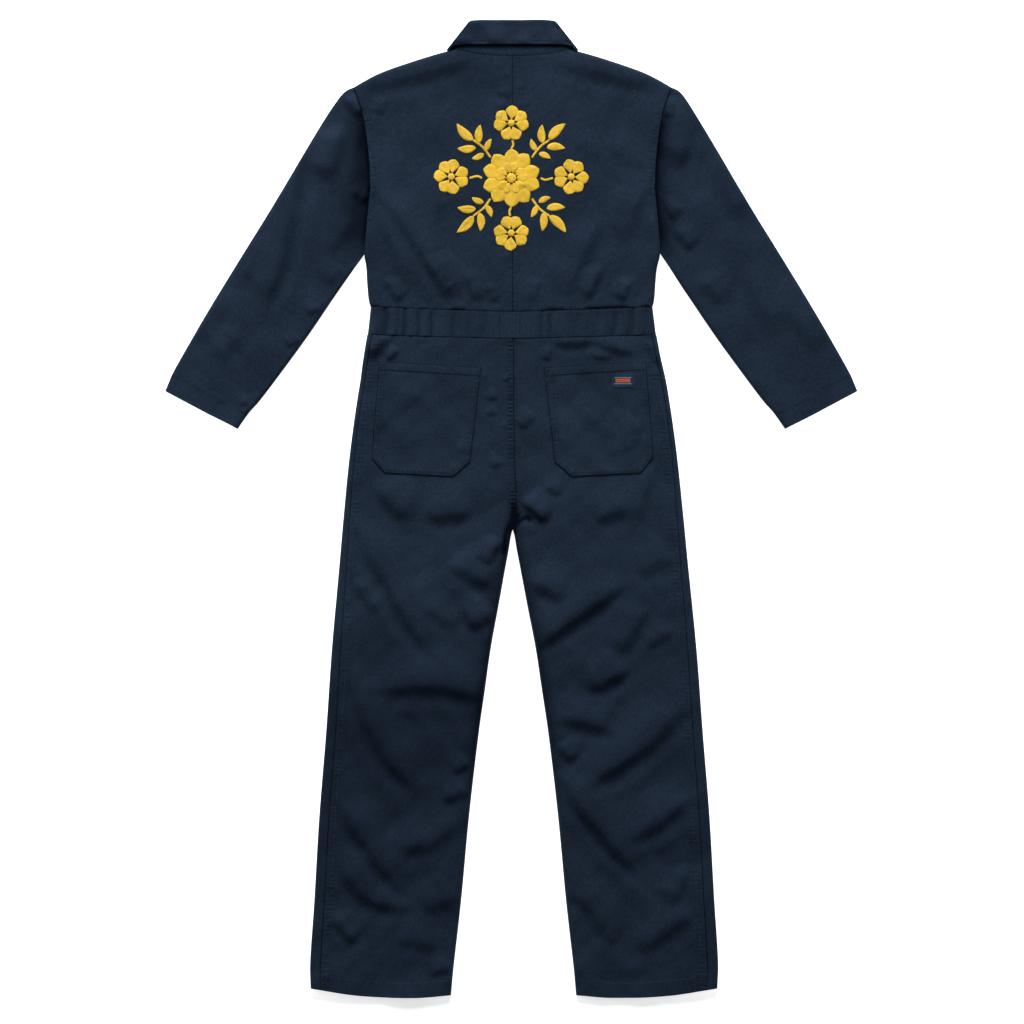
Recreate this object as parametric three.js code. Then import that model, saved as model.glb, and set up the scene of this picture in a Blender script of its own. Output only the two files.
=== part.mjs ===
import * as THREE from "three";

// A boiler suit laid flat on its front, seen from the back. Millimetres.
// +Y points to the collar, +Z up off the surface, x = 0 is the centre back seam.

// Cloth and how it lies
const wall = 1.2; // the cloth, with seam allowances pressed flat
const seam = 0.3; // gap between two pieces sewn edge to edge
const roll = 6; // width of the turned-down stretch along an edge
const foot = wall + 0.7; // where a turned-down edge stops, just over the layer beneath
const rollSteps = [0, 0.8, 3, 6]; // columns across a turned-down edge
const lapHeight = wall + seam; // what lies on one more layer starts this high

// Heights of the upper layer over the surface. Columns: y, height
const loft = [[-800, 8], [-700, 9], [-400, 9.5], [0, 10], [300, 9.5], [740, 8.6], [800, 8.6]];

// Edges of the left half, seen from above. Columns: distance out from centre back, y
const neckSeam = [[0, 740.5], [43, 744], [92, 752]];
const shoulder = [[92, 752], [107, 747.5], [151, 734], [216, 711], [258, 687]];
const armhole = [[258, 687], [244, 641], [235.5, 575], [233, 523]];
const bodySide = [[233, 523], [238, 470], [241.5, 420], [236, 391], [232, 345], [228.5, 330.5]];
const frontNeck = [[0, 667], [30, 671], [60, 685], [84, 715], [92, 752]];
const bandTop = [[0, 322.5], [120, 326], [228.5, 330.5]];
const bandFoot = [[0, 278.5], [120, 281.5], [234, 285]];
const sleeveCap = [[259.2, 686.6], [244.2, 641], [235.7, 575], [233.2, 523]];
const sleeveOuter = [[259.2, 686.6], [285, 665.5], [329, 597], [383, 505], [481, 345], [547, 230.5],
  [564, 193]];
const sleeveCuff = [[564, 193], [506, 162], [449, 131]];
const sleeveInner = [[261, 391], [293, 345], [340, 276], [407, 185], [430, 158], [449, 131]];
const underarmTuck = [[233.3, 523], [228, 505], [229, 480], [232, 450], [238, 424], [261, 391]];
const underarmUnder = [[233.2, 523], [240.5, 470], [244, 420], [261, 391]];

// Half-widths of the legs. Columns: y, distance out from centre back
const legOuter = [[285, 234], [253, 240], [185, 253], [93, 266], [2, 275.5], [-90, 284], [-227, 297],
  [-365, 307], [-502, 318], [-639, 326], [-754, 333], [-797, 332]];
const legInner = [[-33, 0], [-44, 3.3], [-67, 7.4], [-90, 12], [-159, 25], [-227, 38], [-296, 48],
  [-365, 58], [-502, 74], [-639, 87], [-754, 100], [-797, 104]];
const outseamWrap = [[285, 7], [130, 7.5], [0, 10], [-150, 13], [-300, 15], [-797, 17]];
const crotch = -33;
const hem = [[104, -794], [161, -797.6], [251, -793], [332, -781]];

// Pocket corners, seen from above. Columns: distance out from centre back, y
const pocketTop = [[52, 231], [218, 241]];
const pocketFoot = [[69.5, 77], [97, 53], [209, 59], [230, 84]];
const pocketGap = 0.8;
const label = { left: 162, right: 199, top: 221, foot: 198, gap: 0.4 };

// Collar, flat round the neck. Columns: x outwards, y
const leafFold = [[12, 703], [38, 715], [57, 745], [70.5, 797]];
const leafEdge = [[75, 642], [101, 690], [107, 750.5]];
const leafHeight = 12.6;
const standHeight = 8.3;

const placket = { half: 30, top: 664, foot: 25 };
const zip = { half: 9, top: 662, foot: 30 };

// Soft folds: lines where the cloth falls away towards the hem. Columns: start, middle and end of the
// line, reach to each side, and how far the cloth stands above or below its own level there
const bodyFolds = [
  [[-244, 690], [-160, 703], [-60, 733], 15, 2.2],
  [[244, 690], [168, 701], [60, 731], 15, 2.2],
  [[-228, 523], [-186, 470], [-114, 363], 13, 1.9],
  [[-150, 405], [-122, 370], [-100, 340], 12, 2.6],
  [[-222, 500], [-190, 404], [-174, 345], 14, 1.5],
  [[226, 523], [210, 504], [187, 430], 12, 2.4],
  [[150, 480], [110, 386], [82, 335], 15, 2.4],
  [[145, 602], [187, 569], [225, 552], 13, 1.3],
  [[212, 500], [225, 440], [222, 380], 13, 1.5],
];
const sleeveFolds = [ // the same columns
  [[-278, 678], [-300, 600], [-352, 430], 17, 2.2],
  [[-352, 430], [-375, 385], [-400, 335], 16, 1.8],
  [[-455, 356], [-482, 309], [-512, 262], 18, 1.5],
  [[278, 680], [286, 610], [275, 548], 15, 2.2],
  [[281, 498], [268, 482], [254, 473], 12, 1.8],
  [[-300, 333], [-320, 324], [-340, 314], 10, 1.2],
  [[370, 400], [400, 330], [440, 270], 18, 1.4],
];
const legFolds = [ // the same columns
  [[-196, 284], [-216, 262], [-233, 244], 11, 2],
  [[60, 270], [100, 268], [140, 272], 10, 2.2],
  [[124, 276], [158, 262], [204, 250], 10, 2],
  [[-231, 44], [-200, 5], [-168, -26], 14, 1.8],
  [[-150, -22], [-106, -14], [-60, -10], 16, 2.4],
  [[4, 10], [28, -6], [58, -24], 12, 3],
  [[130, -22], [165, -12], [200, -4], 15, 2],
  [[-262, -24], [-205, -128], [-134, -246], 17, 3.4],
  [[-112, -88], [-66, -114], [-22, -134], 15, 2.4],
  [[-76, -200], [-50, -184], [-26, -168], 14, 2.4],
  [[-240, -300], [-123, -296], [-44, -318], 18, 4],
  [[-282, -272], [-226, -392], [-146, -486], 16, 2.6],
  [[-76, -505], [-150, -562], [-210, -543], 16, 2.4],
  [[-290, -480], [-246, -548], [-186, -626], 15, 2.4],
  [[-298, -552], [-236, -642], [-160, -648], 15, 2.6],
  [[-150, -662], [-118, -648], [-86, -636], 14, 1.8],
  [[-200, -704], [-158, -712], [-116, -720], 14, 1.8],
  [[270, -78], [233, -94], [198, -110], 16, 1.8],
  [[44, -226], [97, -183], [172, -132], 15, 3.6],
  [[18, -116], [54, -136], [92, -154], 14, 2.2],
  [[178, -248], [196, -204], [226, -156], 14, 2],
  [[112, -304], [156, -284], [200, -260], 14, 2.4],
  [[60, -347], [114, -352], [172, -373], 15, 2.4],
  [[286, -328], [205, -400], [112, -466], 18, 3.6],
  [[78, -446], [134, -522], [192, -590], 15, 2.6],
  [[292, -474], [236, -520], [188, -544], 15, 2.4],
  [[88, -628], [126, -662], [160, -712], 15, 2.2],
  [[300, -660], [250, -697], [200, -732], 16, 2.6],
  [[150, -757], [188, -759], [226, -757], 12, 1.4],
];

// Elastic gathers across the back of the waistband. Columns: x, reach, height
const bandGathers = [
  [-221, 5, 1.2], [-208, 5, -1.8], [-194, 4, 1.4], [-176, 4, -1.5], [-165, 4, 1.3], [-153, 4, -1.4],
  [-141, 4, 1.2], [-130, 4, -1], [-96, 6, -0.9], [-60, 6, 0.7], [62, 5, -1], [86, 6, 0.8],
  [150, 5, 1], [166, 5, -1.4], [181, 5, 1.2], [196, 5, -1.4], [210, 5, 1.1],
];

const navy = (tone) => new THREE.MeshStandardMaterial({ color: tone, roughness: 0.88, metalness: 0 });
const tones = { main: 0x16233a, under: 0x131e33, band: 0x182640, collar: 0x1a2944, patch: 0x1f3350,
  zip: 0x20242c };

// Value of a two-column table at t, along smooth curves through its rows
function along(table, t) {
  const rows = table[0][0] < table[table.length - 1][0] ? table : [...table].reverse();
  if (t <= rows[0][0]) return rows[0][1];
  const last = rows.length - 1;
  if (t >= rows[last][0]) return rows[last][1];
  const k = rows.findIndex((row) => row[0] > t) - 1;
  const slope = (a, b) => (rows[b][1] - rows[a][1]) / (rows[b][0] - rows[a][0]);
  const at = (i) => slope(Math.max(i - 1, 0), Math.min(i + 1, last));
  const width = rows[k + 1][0] - rows[k][0];
  const s = (t - rows[k][0]) / width;
  const [a, b] = [rows[k][1], rows[k + 1][1]];
  const rise = s * s * (3 - 2 * s);
  return a + (b - a) * rise + width * s * (1 - s) * ((1 - s) * at(k) - s * at(k + 1));
}

// A smooth curve through points, run through by its own length from 0 to 1
function curve(points) {
  const spline = new THREE.SplineCurve(points.map(([x, y]) => new THREE.Vector2(x, y)));
  return (s) => spline.getPointAt(Math.min(Math.max(s, 0), 1)).toArray();
}

// Straight lines through points, run through by their length
function bentLine(points) {
  const path = new THREE.CurvePath();
  points.slice(1).forEach((point, i) => path.add(
    new THREE.LineCurve(new THREE.Vector2(...points[i]), new THREE.Vector2(...point))));
  return (s) => path.getPointAt(Math.min(Math.max(s, 0), 1)).toArray();
}

// Two curves joined end to end, the first taking the given share
function joined(first, share, second) {
  return (s) => (s < share ? first(s / share) : second((s - share) / (1 - share)));
}

// A four-sided patch filled in between its edges
function patch(top, bottom, inner, outer) {
  const corner = [top(0), top(1), bottom(0), bottom(1)];
  return (u, v) => [0, 1].map((k) => (1 - v) * top(u)[k] + v * bottom(u)[k]
    + (1 - u) * inner(v)[k] + u * outer(v)[k]
    - (1 - v) * ((1 - u) * corner[0][k] + u * corner[1][k])
    - v * ((1 - u) * corner[2][k] + u * corner[3][k]));
}

// Shares of a length, close together where an edge turns down
function shares(length, middle, near = rollSteps, far = rollSteps) {
  const start = near.map((d) => d / length);
  const end = far.map((d) => 1 - d / length).reverse();
  const [a, b] = [start[start.length - 1], end[0]];
  const between = Array.from({ length: middle }, (_, i) => a + ((b - a) * (i + 1)) / (middle + 1));
  return [...start, ...between, ...end];
}
const even = (n) => Array.from({ length: n + 1 }, (_, i) => i / n);

const smooth = (x, from, to) => {
  const t = Math.min(Math.max((x - from) / (to - from), 0), 1);
  return t * t * (3 - 2 * t);
};

// Distance from a point to a chain of points
function distance(chain, x, y) {
  let best = Infinity;
  for (let i = 1; i < chain.length; i += 1) {
    const [[ax, ay], [bx, by]] = [chain[i - 1], chain[i]];
    const [dx, dy] = [bx - ax, by - ay];
    const t = Math.min(Math.max(((x - ax) * dx + (y - ay) * dy) / (dx * dx + dy * dy), 0), 1);
    best = Math.min(best, Math.hypot(x - ax - t * dx, y - ay - t * dy));
  }
  return best;
}
const chainOf = (line, n = 40) => even(n).map(line);

// Rise or fall of one fold at a point: high on the collar side of its line, low on the hem side
function foldHeight([start, middle, end, reach, depth], x, y) {
  const chain = [start, middle, end];
  const lengths = [0, 1].map((i) => Math.hypot(chain[i + 1][0] - chain[i][0], chain[i + 1][1] - chain[i][1]));
  let best = { away: Infinity };
  for (let i = 0; i < 2; i += 1) {
    const [ax, ay] = chain[i];
    const [dx, dy] = [(chain[i + 1][0] - ax) / lengths[i], (chain[i + 1][1] - ay) / lengths[i]];
    const run = Math.min(Math.max((x - ax) * dx + (y - ay) * dy, 0), lengths[i]);
    const [ox, oy] = [x - ax - run * dx, y - ay - run * dy];
    const away = Math.hypot(ox, oy);
    const hemward = dx > 0 ? -oy * dx + ox * dy : oy * dx - ox * dy;
    if (away < best.away) best = { away, side: Math.sign(hemward), run: run + (i ? lengths[0] : 0) };
  }
  const total = lengths[0] + lengths[1];
  const fade = smooth(best.run, 0, total * 0.3) * (1 - smooth(best.run, total * 0.7, total));
  const s = (best.side * best.away) / reach;
  return -depth * fade * s * Math.exp(0.5 - (s * s) / 2);
}
const foldsAt = (folds, x, y) => folds.reduce((sum, fold) => sum + foldHeight(fold, x, y), 0);

// Quarter-round fall towards an edge: 0 on the edge, 1 from the roll's width inwards
const fall = (d) => (d >= roll ? 1 : Math.sqrt(1 - (1 - d / roll) ** 2));

// A wall of cloth from its outer points, rows[j][i] = [x, y, z]. The inner side lies one wall
// inwards. Sewn edges stay upright, so that two pieces meet with an even gap; free says how much
// of the slope a turned-down edge keeps, as a function of the place along each side.
function cloth(rows, { flip = 1, free = {}, straightDown = false, thick = wall } = {}) {
  const [m, n] = [rows.length, rows[0].length];
  const within = (k, count) => Math.min(Math.max(k, 0), count - 1);
  const vec = (j, i) => new THREE.Vector3(...rows[within(j, m)][within(i, n)]);
  const outer = [];
  const inner = [];
  const keep = (side, k) => (free[side] ? free[side](k) : 0);
  const straighten = (lean, along2, share) => {
    const across = new THREE.Vector3(along2.y, -along2.x, 0);
    if (across.lengthSq() > 0) lean.addScaledVector(across.normalize(), -lean.dot(across) * (1 - share));
  };
  for (let j = 0; j < m; j += 1) {
    for (let i = 0; i < n; i += 1) {
      const here = vec(j, i);
      const du = vec(j, i + 1).sub(vec(j, i - 1));
      const dv = vec(j + 1, i).sub(vec(j - 1, i));
      const lean = new THREE.Vector3().crossVectors(du, dv).normalize().multiplyScalar(-flip);
      if (straightDown) lean.set(0, 0, Math.sign(lean.z) || 1);
      if (i === 0) straighten(lean, dv, keep("start", j));
      if (i === n - 1) straighten(lean, dv, keep("end", j));
      if (j === 0) straighten(lean, du, keep("top", i));
      if (j === m - 1) straighten(lean, du, keep("bottom", i));
      lean.normalize().multiplyScalar(thick);
      outer.push(here.x, here.y, here.z);
      inner.push(here.x + lean.x, here.y + lean.y, here.z + lean.z);
    }
  }
  const count = m * n;
  const faces = [];
  const quad = (a, b, c, d) => faces.push(a, b, c, a, c, d);
  const id = (j, i) => j * n + i;
  for (let j = 0; j < m - 1; j += 1) {
    for (let i = 0; i < n - 1; i += 1) {
      const ring = [id(j, i), id(j, i + 1), id(j + 1, i + 1), id(j + 1, i)];
      const [za, zb, zc, zd] = ring.map((k) => outer[3 * k + 2]);
      if (Math.abs(za - zc) > Math.abs(zb - zd)) ring.push(ring.shift()); // split along the fold
      quad(...ring);
      quad(...[2, 1, 0, 3].map((k) => ring[k] + count)); // the inner side splits the same way
    }
  }
  const rim = [
    ...Array.from({ length: n - 1 }, (_, i) => [id(0, i + 1), id(0, i)]),
    ...Array.from({ length: m - 1 }, (_, j) => [id(j, 0), id(j + 1, 0)]),
    ...Array.from({ length: n - 1 }, (_, i) => [id(m - 1, i), id(m - 1, i + 1)]),
    ...Array.from({ length: m - 1 }, (_, j) => [id(j + 1, n - 1), id(j, n - 1)]),
  ];
  rim.forEach(([a, b]) => quad(a, b, b + count, a + count));
  const points = [...outer, ...inner];
  const corner = (k) => new THREE.Vector3(points[3 * k], points[3 * k + 1], points[3 * k + 2]);
  let volume = 0;
  for (let k = 0; k < faces.length; k += 3) {
    volume += corner(faces[k]).dot(corner(faces[k + 1]).cross(corner(faces[k + 2])));
  }
  if (volume < 0) faces.reverse();
  const geometry = new THREE.BufferGeometry();
  geometry.setAttribute("position", new THREE.Float32BufferAttribute(points, 3));
  geometry.setIndex(faces);
  return geometry;
}

const suit = new THREE.Group();
function piece(name, tone, geometry) {
  geometry.computeVertexNormals();
  const mesh = new THREE.Mesh(geometry, navy(tone));
  mesh.name = name;
  suit.add(mesh);
}

// How high the front layer lies: it steps over the placket, and over the collar above the chest
const raised = { from: 560, to: 600 };
const overCollar = (y) => lapHeight * smooth(y, raised.from, raised.to);
const overPlacket = (x) => lapHeight * (1 - smooth(Math.abs(x), placket.half + 3, placket.half + 9));
const closureFoot = placket.foot - 45;
const underside = (x, y) => Math.max(overCollar(y), y > closureFoot ? overPlacket(x) : 0);

const lowest = foot + wall + 1.2;
const softFloor = (z) => (z > lowest + 2 ? z : lowest + 2 * Math.exp((z - lowest - 2) / 2));

const armholeLine = curve(armhole);
const bodySideLine = curve(bodySide);
const shoulderLine = curve(shoulder);
const sides = { shoulder: chainOf(shoulderLine), armhole: chainOf(armholeLine), body: chainOf(bodySideLine) };

// Where the side of the body lies over the sleeve it stops higher up
const sideFoot = [[300, foot], [385, foot], [408, 6.4], [505, 6.4], [528, 9], [700, 9]];

// Outer face of the upper back
function backHeight(side, x, y) {
  const full = softFloor(along(loft, y) + foldsAt(bodyFolds, side * x, y));
  const shoulderFoot = foot + overCollar(y);
  const hang = Math.min(along(sideFoot, y) + overCollar(y) * (1 - smooth(y, 505, 540)), full);
  const overShoulder = x > 95 ? fall(distance(sides.shoulder, x, y)) : 1;
  const low = shoulderFoot + (full - shoulderFoot) * overShoulder;
  const fromSide = y > 528 ? 1 : fall(distance(sides.body, x, y));
  return Math.min(low, hang + (full - hang) * fromSide);
}

const mirror = (side, [x, y]) => [side * x, y];

function upperBack(side, name) {
  const top = joined(curve(neckSeam), 0.36, shoulderLine);
  const outer = joined(armholeLine, 0.46, bodySideLine);
  const inner = bentLine([[0, 740.5], [0, 322.5]]);
  const place = patch(top, curve(bandTop), inner, outer);
  const us = [0, 0.09, 0.18, 0.27, 0.36, 0.46, 0.56, 0.66, 0.76, 0.86, 0.94];
  us.push(...rollSteps.map((d) => 1 - d / 248).reverse());
  const vs = [0, 0.0025, 0.009, 0.018, 0.05, 0.1, 0.15, 0.21, 0.27, 0.33, 0.39, 0.43, 0.46, 0.5, 0.56, 0.62,
    0.68, 0.73, 0.775, 0.81, 0.86, 0.93, 1];
  const rows = vs.map((v) => us.map((u) => {
    const [px, py] = place(u, v);
    const x = px + (seam / 2) * (1 - 2 * u) * (u === 0 || (u === 1 && v <= 0.46) ? 1 : 0);
    const y = py - (v === 0 && u <= 0.36 ? seam / 2 : 0) + (v === 1 ? seam / 2 : 0);
    return [side * x, y, backHeight(side, Math.max(px, 0), py)];
  }));
  const free = {
    top: (i) => (us[i] > 0.38 ? 1 : 0),
    end: (j) => (vs[j] > 0.52 ? 1 : 0),
  };
  piece(name, tones.main, cloth(rows, { flip: -side, free }));
}

// Columns of the front pieces beside the placket, and where along a row such a column is met
const besidePlacket = [0, 20, placket.half + 3, placket.half + 9];
const frontShares = [0.19, 0.26, 0.33, 0.4, 0.55, 0.7, 0.85, 1];
function shareAt(place, v, x) {
  let [low, high] = [0, 1];
  for (let i = 0; i < 24; i += 1) {
    const middle = (low + high) / 2;
    if (place(middle, v)[0] < x) low = middle;
    else high = middle;
  }
  return x === 0 ? 0 : low;
}

function upperFront(side, name) {
  const top = joined(curve(frontNeck), 0.4, shoulderLine);
  const outer = joined(armholeLine, 0.46, bodySideLine);
  const inner = bentLine([[0, 667], [0, 322.5]]);
  const place = patch(top, curve(bandTop), inner, outer);
  const vs = [0, 0.05, 0.12, 0.2, 0.28, 0.34, 0.4, 0.46, 0.55, 0.65, 0.75, 0.8, 0.85, 0.92, 1];
  const columns = (v) => [...besidePlacket.map((x) => shareAt(place, v, x)), ...frontShares];
  const rows = vs.map((v) => columns(v).map((u) => {
    const [px, py] = place(u, v);
    const centre = zip.half + seam;
    const x = u === 0 ? centre : px - (u === 1 && v <= 0.46 ? seam / 2 : 0);
    const y = py - (v === 0 && u <= 0.4 ? seam / 2 : 0) + (v === 1 ? seam / 2 : 0);
    return [side * Math.max(x, centre), y, underside(x, py)];
  }));
  piece(name, tones.under, cloth(rows, { flip: side, straightDown: true }));
}

// Sleeves: one strip folded along the outer edge, sewn along the inner one
function sleeve(side, name) {
  const cap = curve(sleeveCap);
  const outer = curve(sleeveOuter);
  const share = 0.245;
  const innerTop = joined(curve(underarmTuck), share, curve(sleeveInner));
  const innerUnder = joined(curve(underarmUnder), share, curve(sleeveInner));
  const upper = patch(cap, curve(sleeveCuff), outer, innerTop);
  const lower = patch(cap, curve(sleeveCuff), outer, innerUnder);
  const outerChain = chainOf(outer);
  const innerChain = chainOf(curve(sleeveInner));
  const height = (x, y) => {
    const fromArm = distance(sides.armhole, x, y);
    const fromSide = distance(sides.body, x, y);
    const dip = (1.6 + 3.4 * smooth(y, 660, 560)) * Math.exp(-((fromArm / 24) ** 2)) * smooth(y, 480, 520);
    const sideDip = 4.6 * Math.exp(-((fromSide / 26) ** 2)) * (1 - smooth(y, 500, 540)) * smooth(y, 330, 400);
    const base = 8.4 - 1.4 * smooth(x, 380, 560) - Math.max(dip, sideDip);
    return Math.max(base + foldsAt(sleeveFolds, side * x, y), 3.9);
  };
  const tucked = (x, y) => {
    const inside = x < along(bodySide.map(([bx, by]) => [by, bx]), y) + 3 && y < 523;
    return inside ? 3.9 : Infinity;
  };
  const topPoint = (u, v) => {
    const [x, y] = upper(u, v);
    const full = Math.min(height(x, y), tucked(x, y));
    const hang = foot + 2 * smooth(y, 395, 430);
    const fromInner = y > 430 ? 1 : fall(distance(innerChain, x, y));
    return [x, y, Math.min(full, hang + (full - hang) * fromInner)];
  };
  const vs = [0, 0.03, 0.07, 0.12, 0.17, 0.205, 0.24, 0.27, 0.31, 0.36, 0.41, 0.46, 0.52, 0.58, 0.64, 0.7, 0.76,
    0.82, 0.88, 0.94, 1];
  const rows = vs.map((v) => {
    const [a, b] = [outer(v), innerTop(v)];
    const width = Math.hypot(a[0] - b[0], a[1] - b[1]);
    const us = shares(width, 5, rollSteps.slice(1), rollSteps);
    const over = [...us].reverse().map((u) => {
      const [x, y, z] = topPoint(u, v);
      const middle = z / 2;
      const d = Math.min(distance(outerChain, x, y), u * width);
      return [x, y, u * width <= roll ? middle + middle * fall(d) : z];
    });
    const level = over[over.length - 1 - 2][2] / 2;
    const fold = [[...outer(v), level]];
    const under = shares(width, 2, rollSteps.slice(1), [0]).map((u) => {
      const [x, y] = lower(u, v);
      return [x, y, u * width <= roll ? level * (1 - fall(u * width)) : 0];
    });
    return [...over, ...fold, ...under].map(([x, y, z]) => [side * x, y, z]);
  });
  const free = { start: (j) => (vs[j] > 0.3 ? 1 : 0) };
  piece(name, tones.main, cloth(rows, { flip: -side, free }));
}

// Waistband: the gathered back strip over two plain front strips
function bandHeight(x, y) {
  const gathers = bandGathers.reduce((sum, [at, reach, rise]) => {
    const d = (x - at - (y - 304) * 0.12) / reach;
    return sum + rise * Math.exp(-d * d);
  }, 0);
  return 9.3 + gathers;
}
function waistband(name) {
  const top = curve(bandTop);
  const bottom = curve(bandFoot);
  const out = bentLine([bandTop[2], bandFoot[2]]);
  const place = patch(top, bottom, bentLine([bandTop[0], bandFoot[0]]), out);
  const half = shares(231, 22, [0], rollSteps);
  const us = [...half.slice(1).reverse().map((u) => -u), ...half];
  const rows = [0, 0.33, 0.67, 1].map((v) => us.map((u) => {
    const [px, py] = place(Math.abs(u), v);
    const x = Math.sign(u) * px;
    const y = py + (v === 0 ? -seam / 2 : 0) + (v === 1 ? seam / 2 : 0);
    const full = bandHeight(x, y);
    return [x, y, foot + (full - foot) * fall((1 - Math.abs(u)) * 231)];
  }));
  const free = { start: () => 1, end: () => 1 };
  piece(name, tones.band, cloth(rows, { flip: -1, free }));
}
function waistbandFront(side, name) {
  const place = patch(curve(bandTop), curve(bandFoot), bentLine([bandTop[0], bandFoot[0]]),
    bentLine([bandTop[2], bandFoot[2]]));
  const rows = [0, 1].map((v) => [0, 0.14, 0.175, 0.4, 0.7, 1].map((u) => {
    const [px, py] = place(u, v);
    const x = u === 0 ? zip.half + seam : px;
    return [side * x, py + (v === 0 ? -seam / 2 : seam / 2), underside(x, py)];
  }));
  piece(name, tones.under, cloth(rows, { flip: side, straightDown: true }));
}

// Legs: the back piece lies on the front piece, which wraps over the outer edge to the outseam
const legLevels = [0, 0.035, 0.07, 0.105, 0.14, 0.17, 0.2, 0.23, 0.258, 0.28, 0.294, 0.31, 0.33, 0.355, 0.38,
  0.41, 0.44, 0.47, 0.5, 0.53, 0.56, 0.59, 0.62, 0.65, 0.68, 0.71, 0.745, 0.78, 0.815, 0.85, 0.89, 0.93,
  0.965, 1];
const coarseLevels = legLevels.filter((_, j) => j % 2 === 0 || j === legLevels.length - 1);
const legEnds = { top: 282, foot: -796 };
const levelY = (v) => legEnds.top + (legEnds.foot - legEnds.top) * v;
const legY = (v, x) => {
  const y = levelY(v);
  const atTop = along(bandFoot, x) - seam - legEnds.top;
  const atHem = along(hem, x) - legEnds.foot;
  return y + atTop * (1 - smooth(v, 0, 0.12)) + atHem * smooth(v, 0.85, 1);
};
const innerX = (y) => (y > crotch ? 0 : Math.max(along(legInner, y), 0));

// The outseam, straight between the rows of the front piece, so that both pieces share one line
function outseamX(v) {
  const exact = (level) => along(legOuter, levelY(level)) - along(outseamWrap, levelY(level));
  const k = Math.min(Math.max(coarseLevels.findIndex((level) => level > v), 1), coarseLevels.length - 1);
  const [a, b] = [coarseLevels[k - 1], v === 1 ? 1 : coarseLevels[k]];
  return v === 1 ? exact(1) : exact(a) + ((exact(b) - exact(a)) * (v - a)) / (b - a);
}
const legHeight = (side, x, y) => softFloor(along(loft, y) + foldsAt(legFolds, side * x, y));
function legBack(side, name) {
  const rows = legLevels.map((v) => {
    const level = levelY(v);
    const [a, b] = [innerX(level), outseamX(v)];
    const us = shares(b - a, 7, rollSteps, [0]);
    return us.map((u) => {
      const x = a + (b - a) * u;
      const y = legY(v, x);
      const full = legHeight(side, x, y);
      const opened = smooth(level, -25, -75);
      const hang = full + (foot - full) * opened;
      const edge = u === 0 ? seam / 2 : u === 1 ? -seam / 2 : 0;
      return [side * (x + edge), y, hang + (full - hang) * fall((b - a) * u)];
    });
  });
  const open = (j) => smooth(levelY(legLevels[j]), -35, -75);
  piece(name, tones.main, cloth(rows, { flip: -side, free: { start: open } }));
}
function legFront(side, name) {
  const rows = coarseLevels.map((v) => {
    const level = levelY(v);
    const [a, out, sewn] = [innerX(level), along(legOuter, level), outseamX(v)];
    const onTop = [sewn, (sewn + out - roll) / 2, out - roll + 0.01, out - 3, out - 0.8];
    const onFloor = [out - 0.8, out - 3, out - roll, out - 60, (out + a) / 2, a + 40, a + 34, a];
    const point = (x, z) => [x, legY(v, x), z];
    const over = onTop.map((x, i) => {
      const full = legHeight(side, x, legY(v, x));
      return point(x + (i === 0 ? seam / 2 : 0), full / 2 + (full / 2) * fall(out - x));
    });
    const middle = over[2][2] / 2;
    const under = onFloor.map((x) => {
      const y = legY(v, x);
      const turned = middle * (1 - fall(out - x));
      const edge = x === a ? seam / 2 + (y > closureFoot ? zip.half : 0) : 0;
      return point(x + edge, Math.max(turned, underside(x, y)));
    });
    return [...over, point(out, middle), ...under].map(([x, y, z]) => [side * x, y, z]);
  });
  piece(name, tones.main, cloth(rows, { flip: -side }));
}

// Patch pockets, lying on the leg pieces
function pocket(side, name) {
  const [topIn, topOut] = pocketTop;
  const place = patch(bentLine([topIn, topOut]), bentLine(pocketFoot), bentLine([topIn, pocketFoot[0]]),
    bentLine([topOut, pocketFoot[3]]));
  const columns = [0, 0.1, 0.197, 0.33, 0.46, 0.6, 0.72, 0.826, 0.91, 1];
  const rows = even(9).map((v) => columns.map((u) => {
    const [x, y] = place(u, v);
    return [side * x, y, legHeight(side, x, y) + wall + pocketGap];
  }));
  piece(name, tones.main, cloth(rows, { flip: -side }));
}
function pocketLabel(name) {
  const rows = even(3).map((v) => even(4).map((u) => {
    const x = label.left + (label.right - label.left) * u;
    const y = label.top + (label.foot - label.top) * v;
    return [x, y, legHeight(1, x, y) + 2 * wall + pocketGap + label.gap];
  }));
  piece(name, tones.patch, cloth(rows, { flip: -1 }));
}

// Collar: both pieces run right round the neck, open at the centre front. Columns of the turn at the
// side: distance in from its widest place, share of the height
const sideSteps = [[3, 0.13], [0.8, 0.34], [0, 0.5], [0.8, 0.66], [3, 0.87]];
function ringRows(front, backLine, sideTurn, heights, ts) {
  return ts.map((t) => {
    const under = even(4).map((s) => {
      const [x, y] = front(s, t);
      return [x, y, heights.low];
    });
    const [ex, ey] = front(1, t);
    const turnUp = sideSteps.filter(([d, k]) => k > 0.5 || d < sideTurn.out);
    const turn = turnUp.map(([d, k]) => [
      ex + sideTurn.x * (sideTurn.out - d), ey + sideTurn.y * (sideTurn.out - d),
      heights.low + (heights.high(t) - heights.low) * k]);
    const over = [0.03, 0.16, 0.32, 0.5, 0.68, 0.84, 1].map((s) => {
      const [x, y] = backLine(s, t);
      return [x, y, heights.high(t)];
    });
    const left = [...under, ...turn, ...over];
    const right = left.slice(0, -1).reverse().map(([x, y, z]) => [-x, y, z]);
    return [...left, ...right];
  });
}
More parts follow.
